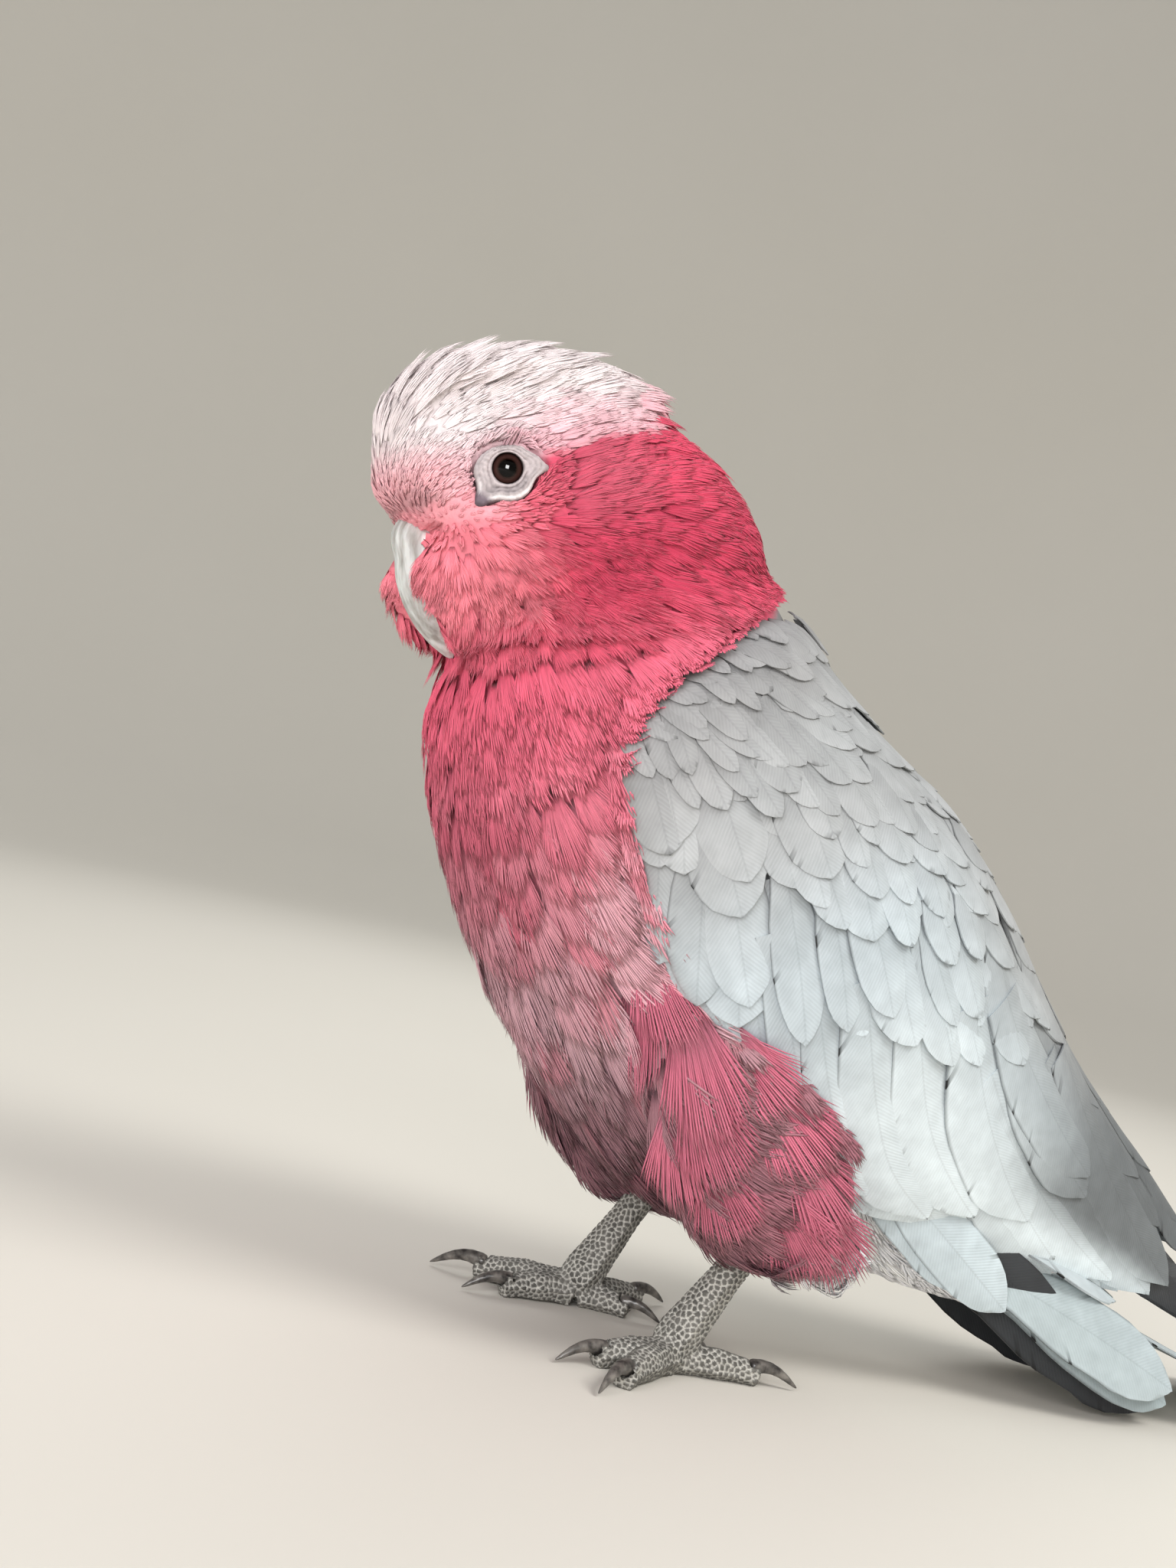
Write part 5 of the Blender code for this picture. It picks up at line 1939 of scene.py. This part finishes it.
@dataclass
class Wing:
    """One folded wing: rows of coverts over secondaries, tertials and primaries.

    Its rows fill the wing under and between the placed feathers.
    """

    side: int
    word: str
    rows: tuple[Row, ...] = (
        Row("primaries", ((228, 95), (254, 92)), 6, (92, 100), (11, 9), (6, 3), 0.1, QUILL, 0.2, 0.3),
        Row("secondaries", (
            (78, 124), (98, 121), (112, 123), (129, 122), (138, 114), (149, 106), (156, 96), (176, 92),
            (200, 88),
        ), 14, (52, 70), (15, 15), (22, 20), -0.35, QUILL, 1.0, 0.4),
        Row("inner_secondaries", (
            (150, 126), (165, 124), (184, 118), (198, 106),
        ), 7, (60, 70), (16, 15), (24, 14), -0.4, QUILL, 1.0, 0.4),
        Row("tertials", (
            (156, 60), (180, 58), (196, 70),
        ), 4, (58, 70), (17, 15), (24, 14), 0.1, QUILL, 0.92, 0.5),
        Row("greater_coverts", (
            (44, 124), (56, 122), (73, 106), (88, 83), (100, 68), (114, 52), (130, 32),
        ), 13, (32, 34), (17, 15), (22, 24), 0.4, GREAT_COVERT, 1.0, 0.5),
        Row("median_coverts", (
            (29, 116), (41, 104), (52, 86), (66, 72), (80, 54), (94, 36), (106, 18),
        ), 14, (20, 24), (14, 13), (22, 24), 0.5, GREAT_COVERT, 1.0, 0.5),
        Row("lesser_4", (
            (19, 112), (30, 100), (42, 82), (56, 62), (70, 42), (84, 22),
        ), 15, (15, 18), (11, 11), (14, 20), 0.2, COVERT, 0.98, 0.4),
        Row("lesser_3", (
            (12, 107), (21, 97), (32, 79), (46, 58), (58, 38), (72, 16),
        ), 15, (12, 15), (9.5, 10), (2, 16), 0.35, COVERT, 0.96, 0.4),
        Row("lesser_2", (
            (8, 101), (14, 92), (22, 74), (33, 54), (44, 34), (56, 12),
        ), 15, (10, 13), (8.5, 9), (-8, 6), 0.5, COVERT, 0.94, 0.3),
        Row("lesser_1", (
            (6, 92), (10, 84), (15, 66), (22, 46), (30, 26), (42, 8),
        ), 14, (8.5, 11), (7.5, 8.5), (-14, -6), 0.6, COVERT, 0.93, 0.3),
        Row("inner_tertials", (
            (112, 30), (140, 34), (168, 42), (192, 56),
        ), 5, (46, 60), (17, 15), (12, 14), 0.3, QUILL, 0.92, 0.5),
        Row("back_quills", (
            (120, 6), (146, 10), (172, 16), (196, 24), (208, 40),
        ), 6, (44, 60), (17, 16), (3, 10), 0.5, QUILL, 0.9, 0.5),
        Row("scapular_3", (
            (48, 40), (72, 24), (100, 8),
        ), 7, (28, 32), (14, 13), (-6, 2), 0.5, LANCE, 0.97, 0.5),
        Row("scapular_2", (
            (32, 46), (50, 26), (74, 6),
        ), 7, (22, 26), (12, 12), (-14, -2), 0.7, LANCE, 0.96, 0.5),
        Row("scapular_1", (
            (20, 52), (32, 30), (48, 5),
        ), 8, (17, 20), (10.5, 11), (-20, -6), 0.9, LANCE, 0.95, 0.4),
        Row("scapular_0", (
            (8, 62), (15, 38), (26, 5),
        ), 9, (11, 14), (8.5, 9), (-22, -8), 1.0, COVERT, 0.95, 0.3),
    )
    loose: tuple[Loose, ...] = (
        Loose((25, 22, 52), (21.5, 62, 24.5), (1, -0.35, 0.1), 12, "C6D3D8", "C2CFD4"),
        Loose((27, 30, 50), (20, 73, 21.2), (1, -0.35, 0.1), 14, "C6D3D8", "C9D6DB"),
        Loose((19, 44, 44), (17.5, 92, 18), (1, -0.35, -0.1), 12, "3A3D40", "2C2E31"),
    )

    def build(self) -> None:
        """Lay every row, lowest first, and join them into two pieces."""
        quills, coverts = Sheaf(), Sheaf()
        for row in self.rows:
            self.lay_row(row, quills if row.vane is QUILL else coverts)
        chance = np.random.default_rng(31 + self.side)
        for number, (s, a, bare, width, turn) in enumerate(PLACED):
            sheaf = coverts
            if bare >= 40:
                high, vane, shade, tilt, length = 0.8 + 0.014 * (126 - a), QUILL, 1.0, 0.8, bare + 12
                sheaf = quills
            elif bare >= 20:
                high, vane, shade, tilt, length = 1.1, GREAT_COVERT, 1.0, 0.8, bare + 10
            else:
                high, vane, shade, tilt, length = 1.3 - 0.004 * s, COVERT, 0.97, 0.6, bare * 1.5 + 6
            row = Row("placed", (), 0, (), (), (), high, vane, shade, tilt)
            self.feather(row, sheaf, (s, a), (length, width * 1.12), math.radians(turn), number, chance)
        for number, feather in enumerate(self.loose):
            feather.lay(quills, self.side, number)
        dressed(quills.finish(f"wing_quills_{self.word}"), VANE, (f"primaries_{self.word}",))
        dressed(coverts.finish(f"wing_coverts_{self.word}"), VANE, (f"wing_{self.word}",))

    def lay_row(self, row: Row, sheaf: "Sheaf") -> None:
        """Lay one row's feathers on the wing's chart.

        Args:
            row: The row.
            sheaf: Where to add them.
        """
        chance = np.random.default_rng(count_seed(row.name + self.word))
        shares = np.linspace(0, 1, row.count)
        tips = smooth_rows(row.tips, row.count)
        for number, (share, (s, a)) in enumerate(zip(shares, tips)):
            length = row.length[0] + (row.length[1] - row.length[0]) * share
            width = row.width[0] + (row.width[1] - row.width[0]) * share
            turn = math.radians(row.turn[0] + (row.turn[1] - row.turn[0]) * share + chance.normal(0, 2.5))
            length, width = length * chance.uniform(0.94, 1.05), width * chance.uniform(0.94, 1.08)
            tip = (s + chance.normal(0, 1.3), a + chance.normal(0, 1.3))
            self.feather(row, sheaf, tip, (length, width), turn, number, chance)

    def feather(
        self,
        row: Row,
        sheaf: "Sheaf",
        tip: tuple[float, float],
        size: tuple[float, float],
        turn: float,
        number: int,
        chance: np.random.Generator,
    ) -> None:
        """Lay one feather.

        Args:
            row: Its row.
            sheaf: Where to add it.
            tip: s and a of its tip.
            size: Its length and width in mm.
            turn: Radians that it points down from the wing's line.
            number: Its number in the row.
            chance: Random numbers.
        """
        (s, a), (length, width) = tip, size
        thick = 0.3 if row.vane.along < 12 else 0.45
        points, faces, rim = row.vane.shape(thick / width, number * 7 + row.count, length / width)
        x, v, z = points.T
        x = x * width
        back = (1 - v) * length
        here = s - back * math.cos(turn) - x * math.sin(turn)
        mid = s - length * 0.5 * math.cos(turn)
        radius = CHART.round_radius(np.full(len(v), mid), np.full(len(v), a))
        angle = a + np.degrees((x * math.cos(turn) - back * math.sin(turn)) / radius)
        deep = 0.8 if row.vane is QUILL else 1.5
        dip = deep * np.clip((1 - v) * length / (40 if row.vane is QUILL else 26), 0, 1) ** 1.1
        lower = CHART.values(here)[5]
        dip = dip + 3.2 * ease(lower - 2, lower + 3.5, np.abs(angle)) * ease(120, 100, here)
        dip = dip + 2.4 * ease(4, -4, here)
        high = row.high - dip + z * width + row.tilt * (x / width) * 1.2
        high = high + 0.15 * math.sin(number * 2.4)
        placed = CHART.at(here, angle, high, self.side)
        tone = row.shade * chance.uniform(0.86 if row.vane is QUILL else 0.9, 1.06)
        # Painted shade: each feather darkens towards its root, where the feather over it shades it.
        colour = PLUMAGE.wing(here, np.abs(angle)) * (tone * (0.84 + 0.16 * ease(0.25, 0.85, v)))[:, None]
        if row.name == "primaries":
            colour = mix(np.broadcast_to(srgb("4A4C4E"), colour.shape), srgb("26272A"), ease(0.4, 1, v))
        sheaf.add(placed, faces if self.side > 0 else faces[:, ::-1], colour, x, v * length, rim)


@dataclass
class Sheaf:
    """Collects feather blades and joins them into one piece.

    Each blade has its own cell of the map, with a margin round it, and its barbs start their
    pattern own_start further on than the last one's.
    """

    margin: float = 0.06
    own_start: float = 3.7
    blades: list[tuple[Array, ...]] = field(default_factory=list)

    def add(
        self, placed: Array, faces: Array, colour: Array, across: Array, along: Array, rim: Array
    ) -> None:
        """Add a blade by its points, triangles, colours, mm across and along, and nearness to the rim."""
        self.blades.append((placed, faces, colour, np.column_stack([across, along]), rim))

    def finish(self, name: str) -> Piece:
        """Join the blades.

        Args:
            name: The piece's name.

        Returns:
            The object.
        """
        columns = math.ceil(math.sqrt(len(self.blades) * 2.2))
        lines = math.ceil(len(self.blades) / columns)
        start, faces, cells = 0, [], []
        for number, (placed, triangles, _, local, _) in enumerate(self.blades):
            faces.append(triangles + start)
            start += len(placed)
            low, high = local.min(0), local.max(0)
            inner = self.margin + (1 - 2 * self.margin) * (local - low) / (high - low)
            corner = np.array([number % columns, number // columns])
            cells.append((inner + corner) / np.array([columns, lines]))
        kept = (0, 2, 3, 4)
        points, colours, local, rim = (np.concatenate([b[k] for b in self.blades]) for k in kept)
        mesh = joined_mesh(name, points, np.concatenate(faces))
        paint(mesh, colours)
        add_uv(mesh, "OFBake", np.concatenate(cells))
        add_uv(mesh, "Vane", local)
        which = np.repeat(np.arange(len(self.blades)) * self.own_start, [len(b[0]) for b in self.blades])
        for word, values in (("Rim", rim), ("Which", which)):
            layer = mesh.attributes.new(word, "FLOAT", "POINT")
            layer.data.foreach_set("value", values.astype(np.float32))
        mesh.set_sharp_from_angle(angle=math.radians(60))
        return new_piece(name, mesh)


@dataclass
class Tail:
    """Twelve long tail feathers in a shallow fan.

    Attributes:
        stations: (y, z of the middle, half width) as in the frame.
        root_y: Where the feathers start.
        tip_y: Where the longest feathers end.
        uneven: How much shorter the feathers are, in turn.
        feathers: How many.
        width: Of one feather in mm.
    """

    stations: tuple[Place, ...] = (
        (64, 37, 8), (80, 31.2, 10.5), (100, 24, 13.5), (120, 17.4, 17), (140, 11.4, 20), (160, 6.0, 22.5),
        (180, 0.95, 24.5), (199, 0.7, 25.5),
    )
    root_y: float = 66
    tip_y: float = 198.6
    uneven: tuple[float, ...] = (0, 1.9, 0.6, 2.4, 1.2)
    feathers: int = 12
    width: float = 14
    loose: tuple[Loose, ...] = (
        Loose((14, 66, 27), (16, 122, 4.5), (1, -0.3, 0.25), 19, "34373A", "2A2C30"),
        Loose((16, 74, 26), (20, 121, 5.5), (1, -0.35, 0.5), 15, "A9B5B8", "A3B0B3"),
        Loose((18, 70, 29), (23.5, 119, 9.8), (1, -0.35, 0.6), 17, "AEBABC", "B2BEC1"),
        Loose((11, 56, 44), (14, 106, 26), (0.35, 0.45, 1), 16, "B9C2C5", "BDC7CA"),
        Loose((4, 54, 47), (5, 112, 25), (0.1, 0.45, 1), 16, "BBC4C7", "C0CACD"),
    )

    def build(self) -> None:
        """Lay the feathers, outermost lowest."""
        sheaf = Sheaf()
        rows = smooth_rows(self.stations, 80)
        for number in range(self.feathers):
            across = (number + 0.5) / self.feathers * 2 - 1
            stack = 1 - abs(across)
            end = self.tip_y - 13 * across * across - self.uneven[number % 5]
            points, faces, rim = Vane(6, 18, 0.45, 0.86, 0.1, 0.03).shape(0.5 / self.width, 0, 9.0)
            x, v, z = points.T
            y = self.root_y + (end - self.root_y) * v
            middle, half = (np.interp(y, rows[:, 0], rows[:, k]) for k in (1, 2))
            out = half * across * 0.9 + x * self.width * (0.55 + 0.45 * v)
            rise = 0.5 + 1.5 * stack + z * self.width - 0.5 * np.sign(across) * x
            high = np.maximum(middle + rise * (0.35 + 0.65 * (1 - v)) - 0.6 * v, 0.05 + 0.3 * stack)
            placed = np.column_stack([out, y, high])
            dark = ease(0.55, 0.82, v + 0.02 * np.sin(number * 5))
            colour = mix(np.broadcast_to(srgb("C6D2D5"), placed.shape), srgb("3A3C3F"), dark)
            sheaf.add(placed, faces, colour, x * self.width, v * (end - self.root_y), rim)
        for side, _ in SIDES:
            for number, feather in enumerate(self.loose):
                feather.lay(sheaf, side, number)
        dressed(sheaf.finish("tail_quills"), VANE, ("tail",))


# --- bare parts


def smoothed_copy(name: str) -> Shape:
    """Make a finer, rounder copy of a CAD node.

    Args:
        name: The node.

    Returns:
        A bmesh in mm that the caller frees.
    """
    done = remade(as_mesh(node_copy(name), "step"), (("SUBSURF", {"levels": 2, "render_levels": 2}),))
    fine = bmesh.new()
    fine.from_mesh(done)
    bpy.data.meshes.remove(done)
    return fine


@dataclass
class Bill:
    """Upper and lower bill, rounded from the frame's own solids."""

    def build(self) -> None:
        """Make both halves."""
        for name in ("bill_upper", "bill_lower"):
            made = smoothed_copy(name)
            if name == "bill_upper":
                head = HEAD.inward(corners_of(made))
                head[:, 1] -= 2.1 * ease(-12.5, -5.5, head[:, 2]) * ease(-18, -27, head[:, 1])
                move(made, HEAD.outward(head))
            dressed(piece_from_bmesh(f"{name}_horn", made), HORN, (name,))


@dataclass
class Eye:
    """One eyeball and the crinkled bare ring round it.

    Attributes:
        level: The surface that the ring lies on.
        place: The left eye's outermost point in the head's frame.
        radius: Of the eyeball.
        forward: Degrees that it looks ahead of square to the side.
        pupil: Radius of the pupil.
        iris: Radius of the iris.
        opening: Radius of the gap in the lids.
        segments: Points round the ring.
        profile: (share of the way out, height in mm) across the ring's folds.
    """

    side: int
    word: str
    level: Optional[Surface] = None
    place: Place = (20.5, -11, 3.2)
    radius: float = 4.9
    forward: float = 14
    pupil: float = 1.75
    iris: float = 3.0
    opening: float = 3.0
    segments: int = 128
    profile: tuple[tuple[float, float], ...] = (
        (0.0, -1.2), (0.0, -0.2), (0.03, 0.25), (0.09, 0.5), (0.17, 0.5), (0.24, 0.2), (0.31, 0.42),
        (0.39, 0.4), (0.46, 0.1), (0.54, 0.38), (0.63, 0.3), (0.7, 0.08), (0.79, 0.34), (0.89, 0.2),
        (1.0, -0.3), (1.04, -1.8),
    )

    def outward(self, points: Array) -> Array:
        """Points of the eye's frame, whose Z looks out of the head, on the bird.

        Args:
            points: X is down the head, Y is back along it, Z is out.

        Returns:
            Points in mm.
        """
        turn = np.radians(self.forward)
        out = np.array([math.cos(turn), -math.sin(turn), 0])
        back = np.array([math.sin(turn), math.cos(turn), 0])
        down = np.array([0, 0, -1])
        head = points[:, 0:1] * down + points[:, 1:2] * back + points[:, 2:3] * out + np.array(self.place)
        head[:, 0] *= self.side
        return HEAD.outward(head)

    def build(self) -> None:
        """Make the eyeball and its ring."""
        self.build_ball()
        self.build_ring()

    def build_ball(self) -> None:
        """A fine sphere with its iris drawn on the vertices."""
        made = bmesh.new()
        bmesh.ops.create_uvsphere(made, u_segments=64, v_segments=96, radius=self.radius)
        bmesh.ops.translate(made, vec=(0, 0, -self.radius), verts=made.verts)
        local = corners_of(made)
        spread = np.hypot(local[:, 0], local[:, 1])
        brown = layered(
            srgb("26150F"),
            ("442B27", ease(self.pupil, self.iris * 0.8, spread)),
            ("1C0F0E", ease(self.iris * 0.86, self.iris * 1.0, spread)),
        )
        colour = mix(srgb("030202"), brown, ease(self.pupil - 0.12, self.pupil + 0.12, spread))
        move(made, self.outward(local))
        bmesh.ops.recalc_face_normals(made, faces=made.faces)
        piece = piece_from_bmesh(f"eyeball_{self.word}", made)
        paint(piece.data, colour)
        dressed(piece, CORNEA, (f"eye_{self.word}",))

    def reach(self, angle: Array) -> Array:
        """Find the bare ring's outline, drawn out to a corner behind and one below in front.

        Args:
            angle: Radians round the eye from straight down, towards the back.

        Returns:
            Its outer radius there.
        """
        down = np.where(np.cos(angle) > 0, 6.6, 4.7)
        oval = 1 / np.hypot(np.cos(angle) / down, np.sin(angle) / np.where(np.sin(angle) > 0, 5.6, 6.7))
        corner = 3.3 * np.exp(-(((angle - math.pi / 2 - 0.03) / 0.3) ** 2))
        gape = 3.1 * np.exp(-(((angle + 0.78) / 0.23) ** 2))
        return oval + corner + gape

    def build_ring(self) -> None:
        """Concentric creased rings from the lid's rim outwards, with small papillae."""
        made = bmesh.new()
        bmesh.ops.create_circle(made, segments=self.segments, radius=1)
        made.verts.ensure_lookup_table()
        loops = [made.verts[:]]
        edges = made.edges[:]
        for _ in self.profile[1:]:
            grown = bmesh.ops.extrude_edge_only(made, edges=edges)["geom"]
            edges = [g for g in grown if isinstance(g, bmesh.types.BMEdge)]
            fresh = [g for g in grown if isinstance(g, bmesh.types.BMVert)]
            by_angle = {round(math.atan2(v.co.y, v.co.x), 5): v for v in fresh}
            loops.append([by_angle[round(math.atan2(v.co.y, v.co.x), 5)] for v in loops[0]])
        angles = np.array([math.atan2(v.co.y, v.co.x) for v in loops[0]])
        painted_shades, shares, heights = {}, {}, {}
        for loop, (share, height) in zip(loops, self.profile):
            reach = self.opening + (self.reach(angles) - self.opening) * share
            for vertex, angle, far in zip(loop, angles, reach):
                swirl = noise.noise(Vector((math.cos(angle) * 4, math.sin(angle) * 4, share * 3)))
                crease = 0.05 * math.sin(angle * 17 + share * 14 + 5 * swirl)
                crease *= math.sin(math.pi * min(share * 1.1, 1))
                place = Vector((far * math.cos(angle), far * math.sin(angle), 3))
                bead = 0.13 * noise.noise(place * 1.1) + 0.07 * noise.noise(place * 2.6)
                # Painted shade and light on the ring's relief: crease and bead, which also shape it, and the
                # fold term make it lighter on high parts and darker in hollows, and under darkens the lower
                # inner ring.
                under = ease(0.2, 0.9, math.cos(angle)) * ease(0.62, 0.5, share) * ease(0.1, 0.2, share)
                fold_shade = 0.6 * (height - 0.25) * float(ease(1.0, 0.4, abs(math.sin(angle))) * 0.35 + 0.65)
                painted_shades[vertex] = 0.95 + 1.5 * (crease + bead) + fold_shade - 0.36 * float(under)
                shares[vertex] = share
                heights[vertex] = height * 0.8 + crease + bead
                vertex.co = (far * math.cos(angle), far * math.sin(angle), heights[vertex])
        bridge = [e for e in made.edges if e.is_boundary]
        bmesh.ops.bridge_loops(made, edges=bridge)
        made.verts.index_update()
        shade, share, height = (np.array([d[v] for v in made.verts]) for d in (painted_shades, shares, heights))
        local = corners_of(made)
        inner = self.outward(local)
        near, up = self.level.nearest(self.outward(local * np.array([1, 1, 0])))
        outer = near + up * (height + 0.25)[:, None]
        move(made, mix(inner, outer, ease(0.2, 0.55, share)))
        bmesh.ops.recalc_face_normals(made, faces=made.faces)
        corner = ease(6.6, 8.0, np.hypot(local[:, 0], local[:, 1])) * (local[:, 1] < 0) * (local[:, 0] > 3)
        low_rim = ease(0.62, 0.76, share) * ease(1.0, 0.92, share) * ease(0.1, 0.5, local[:, 0] / 8)
        colour = layered(
            srgb("BDB2B3"),
            ("B9AEAF", ease(0.3, 0.9, share)),
            ("756770", corner),
            ("EFE9E8", low_rim * (1 - corner) * 0.8),
        )
        # Painted shade: the ring's colour is multiplied by its painted shading.
        colour = colour * shade[:, None].clip(0.3, 1.25)
        colour = mix(srgb("2E2323"), colour, ease(-0.01, 0.07, share))
        piece = piece_from_bmesh(f"eye_ring_{self.word}", made, 80)
        paint(piece.data, colour)
        dressed(piece, LEATHER, (f"eyelid_{self.word}",))


@dataclass
class Foot:
    """Bare shank and toes of one side, with a net of small scales, and the four claws.

    Attributes:
        grain_size: Size of the skin's faces in mm.
        rounds: How often the skin is smoothed.
        scale_gap: Millimetres between the scales' middles.
    """

    side: int
    word: str
    toes: tuple[str, ...] = ("inner_front", "outer_front", "inner_back", "outer_back")
    grain_size: float = 0.32
    rounds: int = 8
    scale_gap: float = 1.0

    def build(self) -> None:
        """Make the scaly skin and the claws."""
        names = [f"shank_{self.word}", *(f"toe_{self.word}_{toe}" for toe in self.toes)]
        mould = Skin(grain_size=self.grain_size, rounds=self.rounds).moulded(names)
        points = mould.points
        finder = finder_of(points)
        free = np.ones(len(points), bool)
        seeds = []
        for number in np.random.default_rng(3).permutation(len(points)):
            if free[number]:
                seeds.append(points[number])
                free[[hit[1] for hit in finder.find_range(points[number], self.scale_gap)]] = False
        finder = finder_of(seeds)
        gaps = np.array([[hit[2] for hit in finder.find_n(p, 2)] for p in points])
        ridge = ease(0.4, 0.06, gaps[:, 1] - gaps[:, 0])
        raised = points + mould.normals * (0.12 - 0.34 * ridge)[:, None]
        raised[:, 2] = np.maximum(raised[:, 2], 0.0)
        mesh = joined_mesh(f"foot_skin_{self.word}", raised, mould.faces)
        tone = grain(points, 2.5) * 0.5 + 0.5
        colour = mix(srgb("454440"), srgb("77756F"), tone)
        paint(mesh, mix(colour, srgb("DAD8CF"), ridge * 0.88))
        dressed(new_piece(f"foot_skin_{self.word}", mesh), LEATHER, names)
        for toe in self.toes:
            name = f"claw_{self.word}_{toe}"
            made = smoothed_copy(name)
            dressed(piece_from_bmesh(f"{name}_horn", made), CLAW, (name,))


# --- studio


@dataclass
class Studio:
    """A pale seamless sweep, soft lights and the camera."""

    camera_place: Place = (384.75, -187.684, 102.923)
    camera_right: Place = (0.3496, 0.9106, 0.2207)
    camera_up: Place = (-0.0538, -0.2156, 0.9750)
    lens: float = 45

    def build(self) -> None:
        """Add the sweep, the lights and the camera."""
        self.add_sweep()
        self.add_light("key", (620, 560, 980), 560, 9.0, "FFFDFA")
        self.add_light("fill", (900, -760, 420), 900, 12.0, "FDFBFF")
        self.add_light("back", (-700, 300, 800), 600, 3.0, "FFFFFF")
        self.add_light("spark", (455, -180, 212), 120, 2.4, "FFFFFF", seen=True)
        world = bpy.data.worlds.new("studio_air")
        world.use_nodes = True
        air = world.node_tree.nodes["Background"].inputs
        air["Color"].default_value, air["Strength"].default_value = (*srgb("F2F4F7"), 1), 0.6
        world.cycles_visibility.glossy = False
        bpy.context.scene.world = world
        self.add_camera()
        bpy.context.scene.view_settings.view_transform = "Standard"

    def add_sweep(self) -> None:
        """A wide round dish: flat under the bird and curving up far behind it on every side."""
        made = bmesh.new()
        made.verts.new((0, 0, 0))
        profile = [(0.0, 0.0), (1.2, 0.0)]
        profile += [(1.2 + 0.9 * math.sin(t), 0.9 - 0.9 * math.cos(t)) for t in np.linspace(0.1, 1.45, 14)]
        profile.append((2.15, 1.5))
        made.verts.ensure_lookup_table()
        row = [made.verts[0]] + [made.verts.new((x, 0, z)) for x, z in profile[1:]]
        edges = [made.edges.new(pair) for pair in zip(row, row[1:])]
        turn = {"cent": (0, 0, 0), "axis": (0, 0, 1), "angle": 2 * math.pi}
        bmesh.ops.spin(made, geom=row + edges, steps=96, use_merge=True, **turn)
        bmesh.ops.remove_doubles(made, verts=made.verts, dist=1e-5)
        bmesh.ops.recalc_face_normals(made, faces=made.faces)
        mesh = as_mesh(made, "sweep")
        mesh.shade_smooth()
        sweep = new_piece("sweep", mesh)
        sweep.data.materials.append(CARD.made())

    def add_light(
        self, name: str, place: Place, size: float, power: float, tint: str, seen: bool = False
    ) -> None:
        """Add a large soft light that looks at the bird.

        Args:
            name: The light's name.
            place: Millimetres from the floor point.
            size: Side in mm.
            power: In watts.
            tint: Its colour.
            seen: Whether it shows as a highlight on wet and glossy parts.
        """
        lamp = bpy.data.lights.new(name, "AREA")
        lamp.energy = power
        lamp.size = size * MM
        lamp.color = srgb(tint)
        holder = bpy.data.objects.new(name, lamp)
        holder.visible_glossy = seen
        holder.visible_diffuse = not seen
        bpy.context.scene.collection.objects.link(holder)
        start = Vector(FRAME.metres(np.array(place)))
        aim = Vector(FRAME.metres(np.array((0, 0, 100))))
        holder.location = start
        holder.rotation_euler = (aim - start).to_track_quat("-Z", "Y").to_euler()

    def add_camera(self) -> None:
        """Add the camera at the bird's left front."""
        lens = bpy.data.cameras.new("camera")
        lens.lens = self.lens
        lens.sensor_width = 36
        lens.clip_start = 0.01
        holder = bpy.data.objects.new("camera", lens)
        bpy.context.scene.collection.objects.link(holder)
        right, up = Vector(self.camera_right), Vector(self.camera_up)
        turn = Matrix((right, up, right.cross(up))).transposed().to_4x4()
        holder.matrix_world = Matrix.Translation(FRAME.metres(np.array(self.camera_place))) @ turn
        bpy.context.scene.camera = holder


def main() -> None:
    """Build the bird and its studio, and note the model's size."""
    logging.basicConfig(level=logging.INFO, format="%(message)s")
    Studio().build()
    skin = Skin()
    skin.build()
    coat = Coat(skin)
    coat.build()
    for side, word in SIDES:
        Wing(side, word).build()
        Eye(side, word, coat.level).build()
        Foot(side, word).build()
    Tail().build()
    Bill().build()


if __name__ == "__main__":
    main()
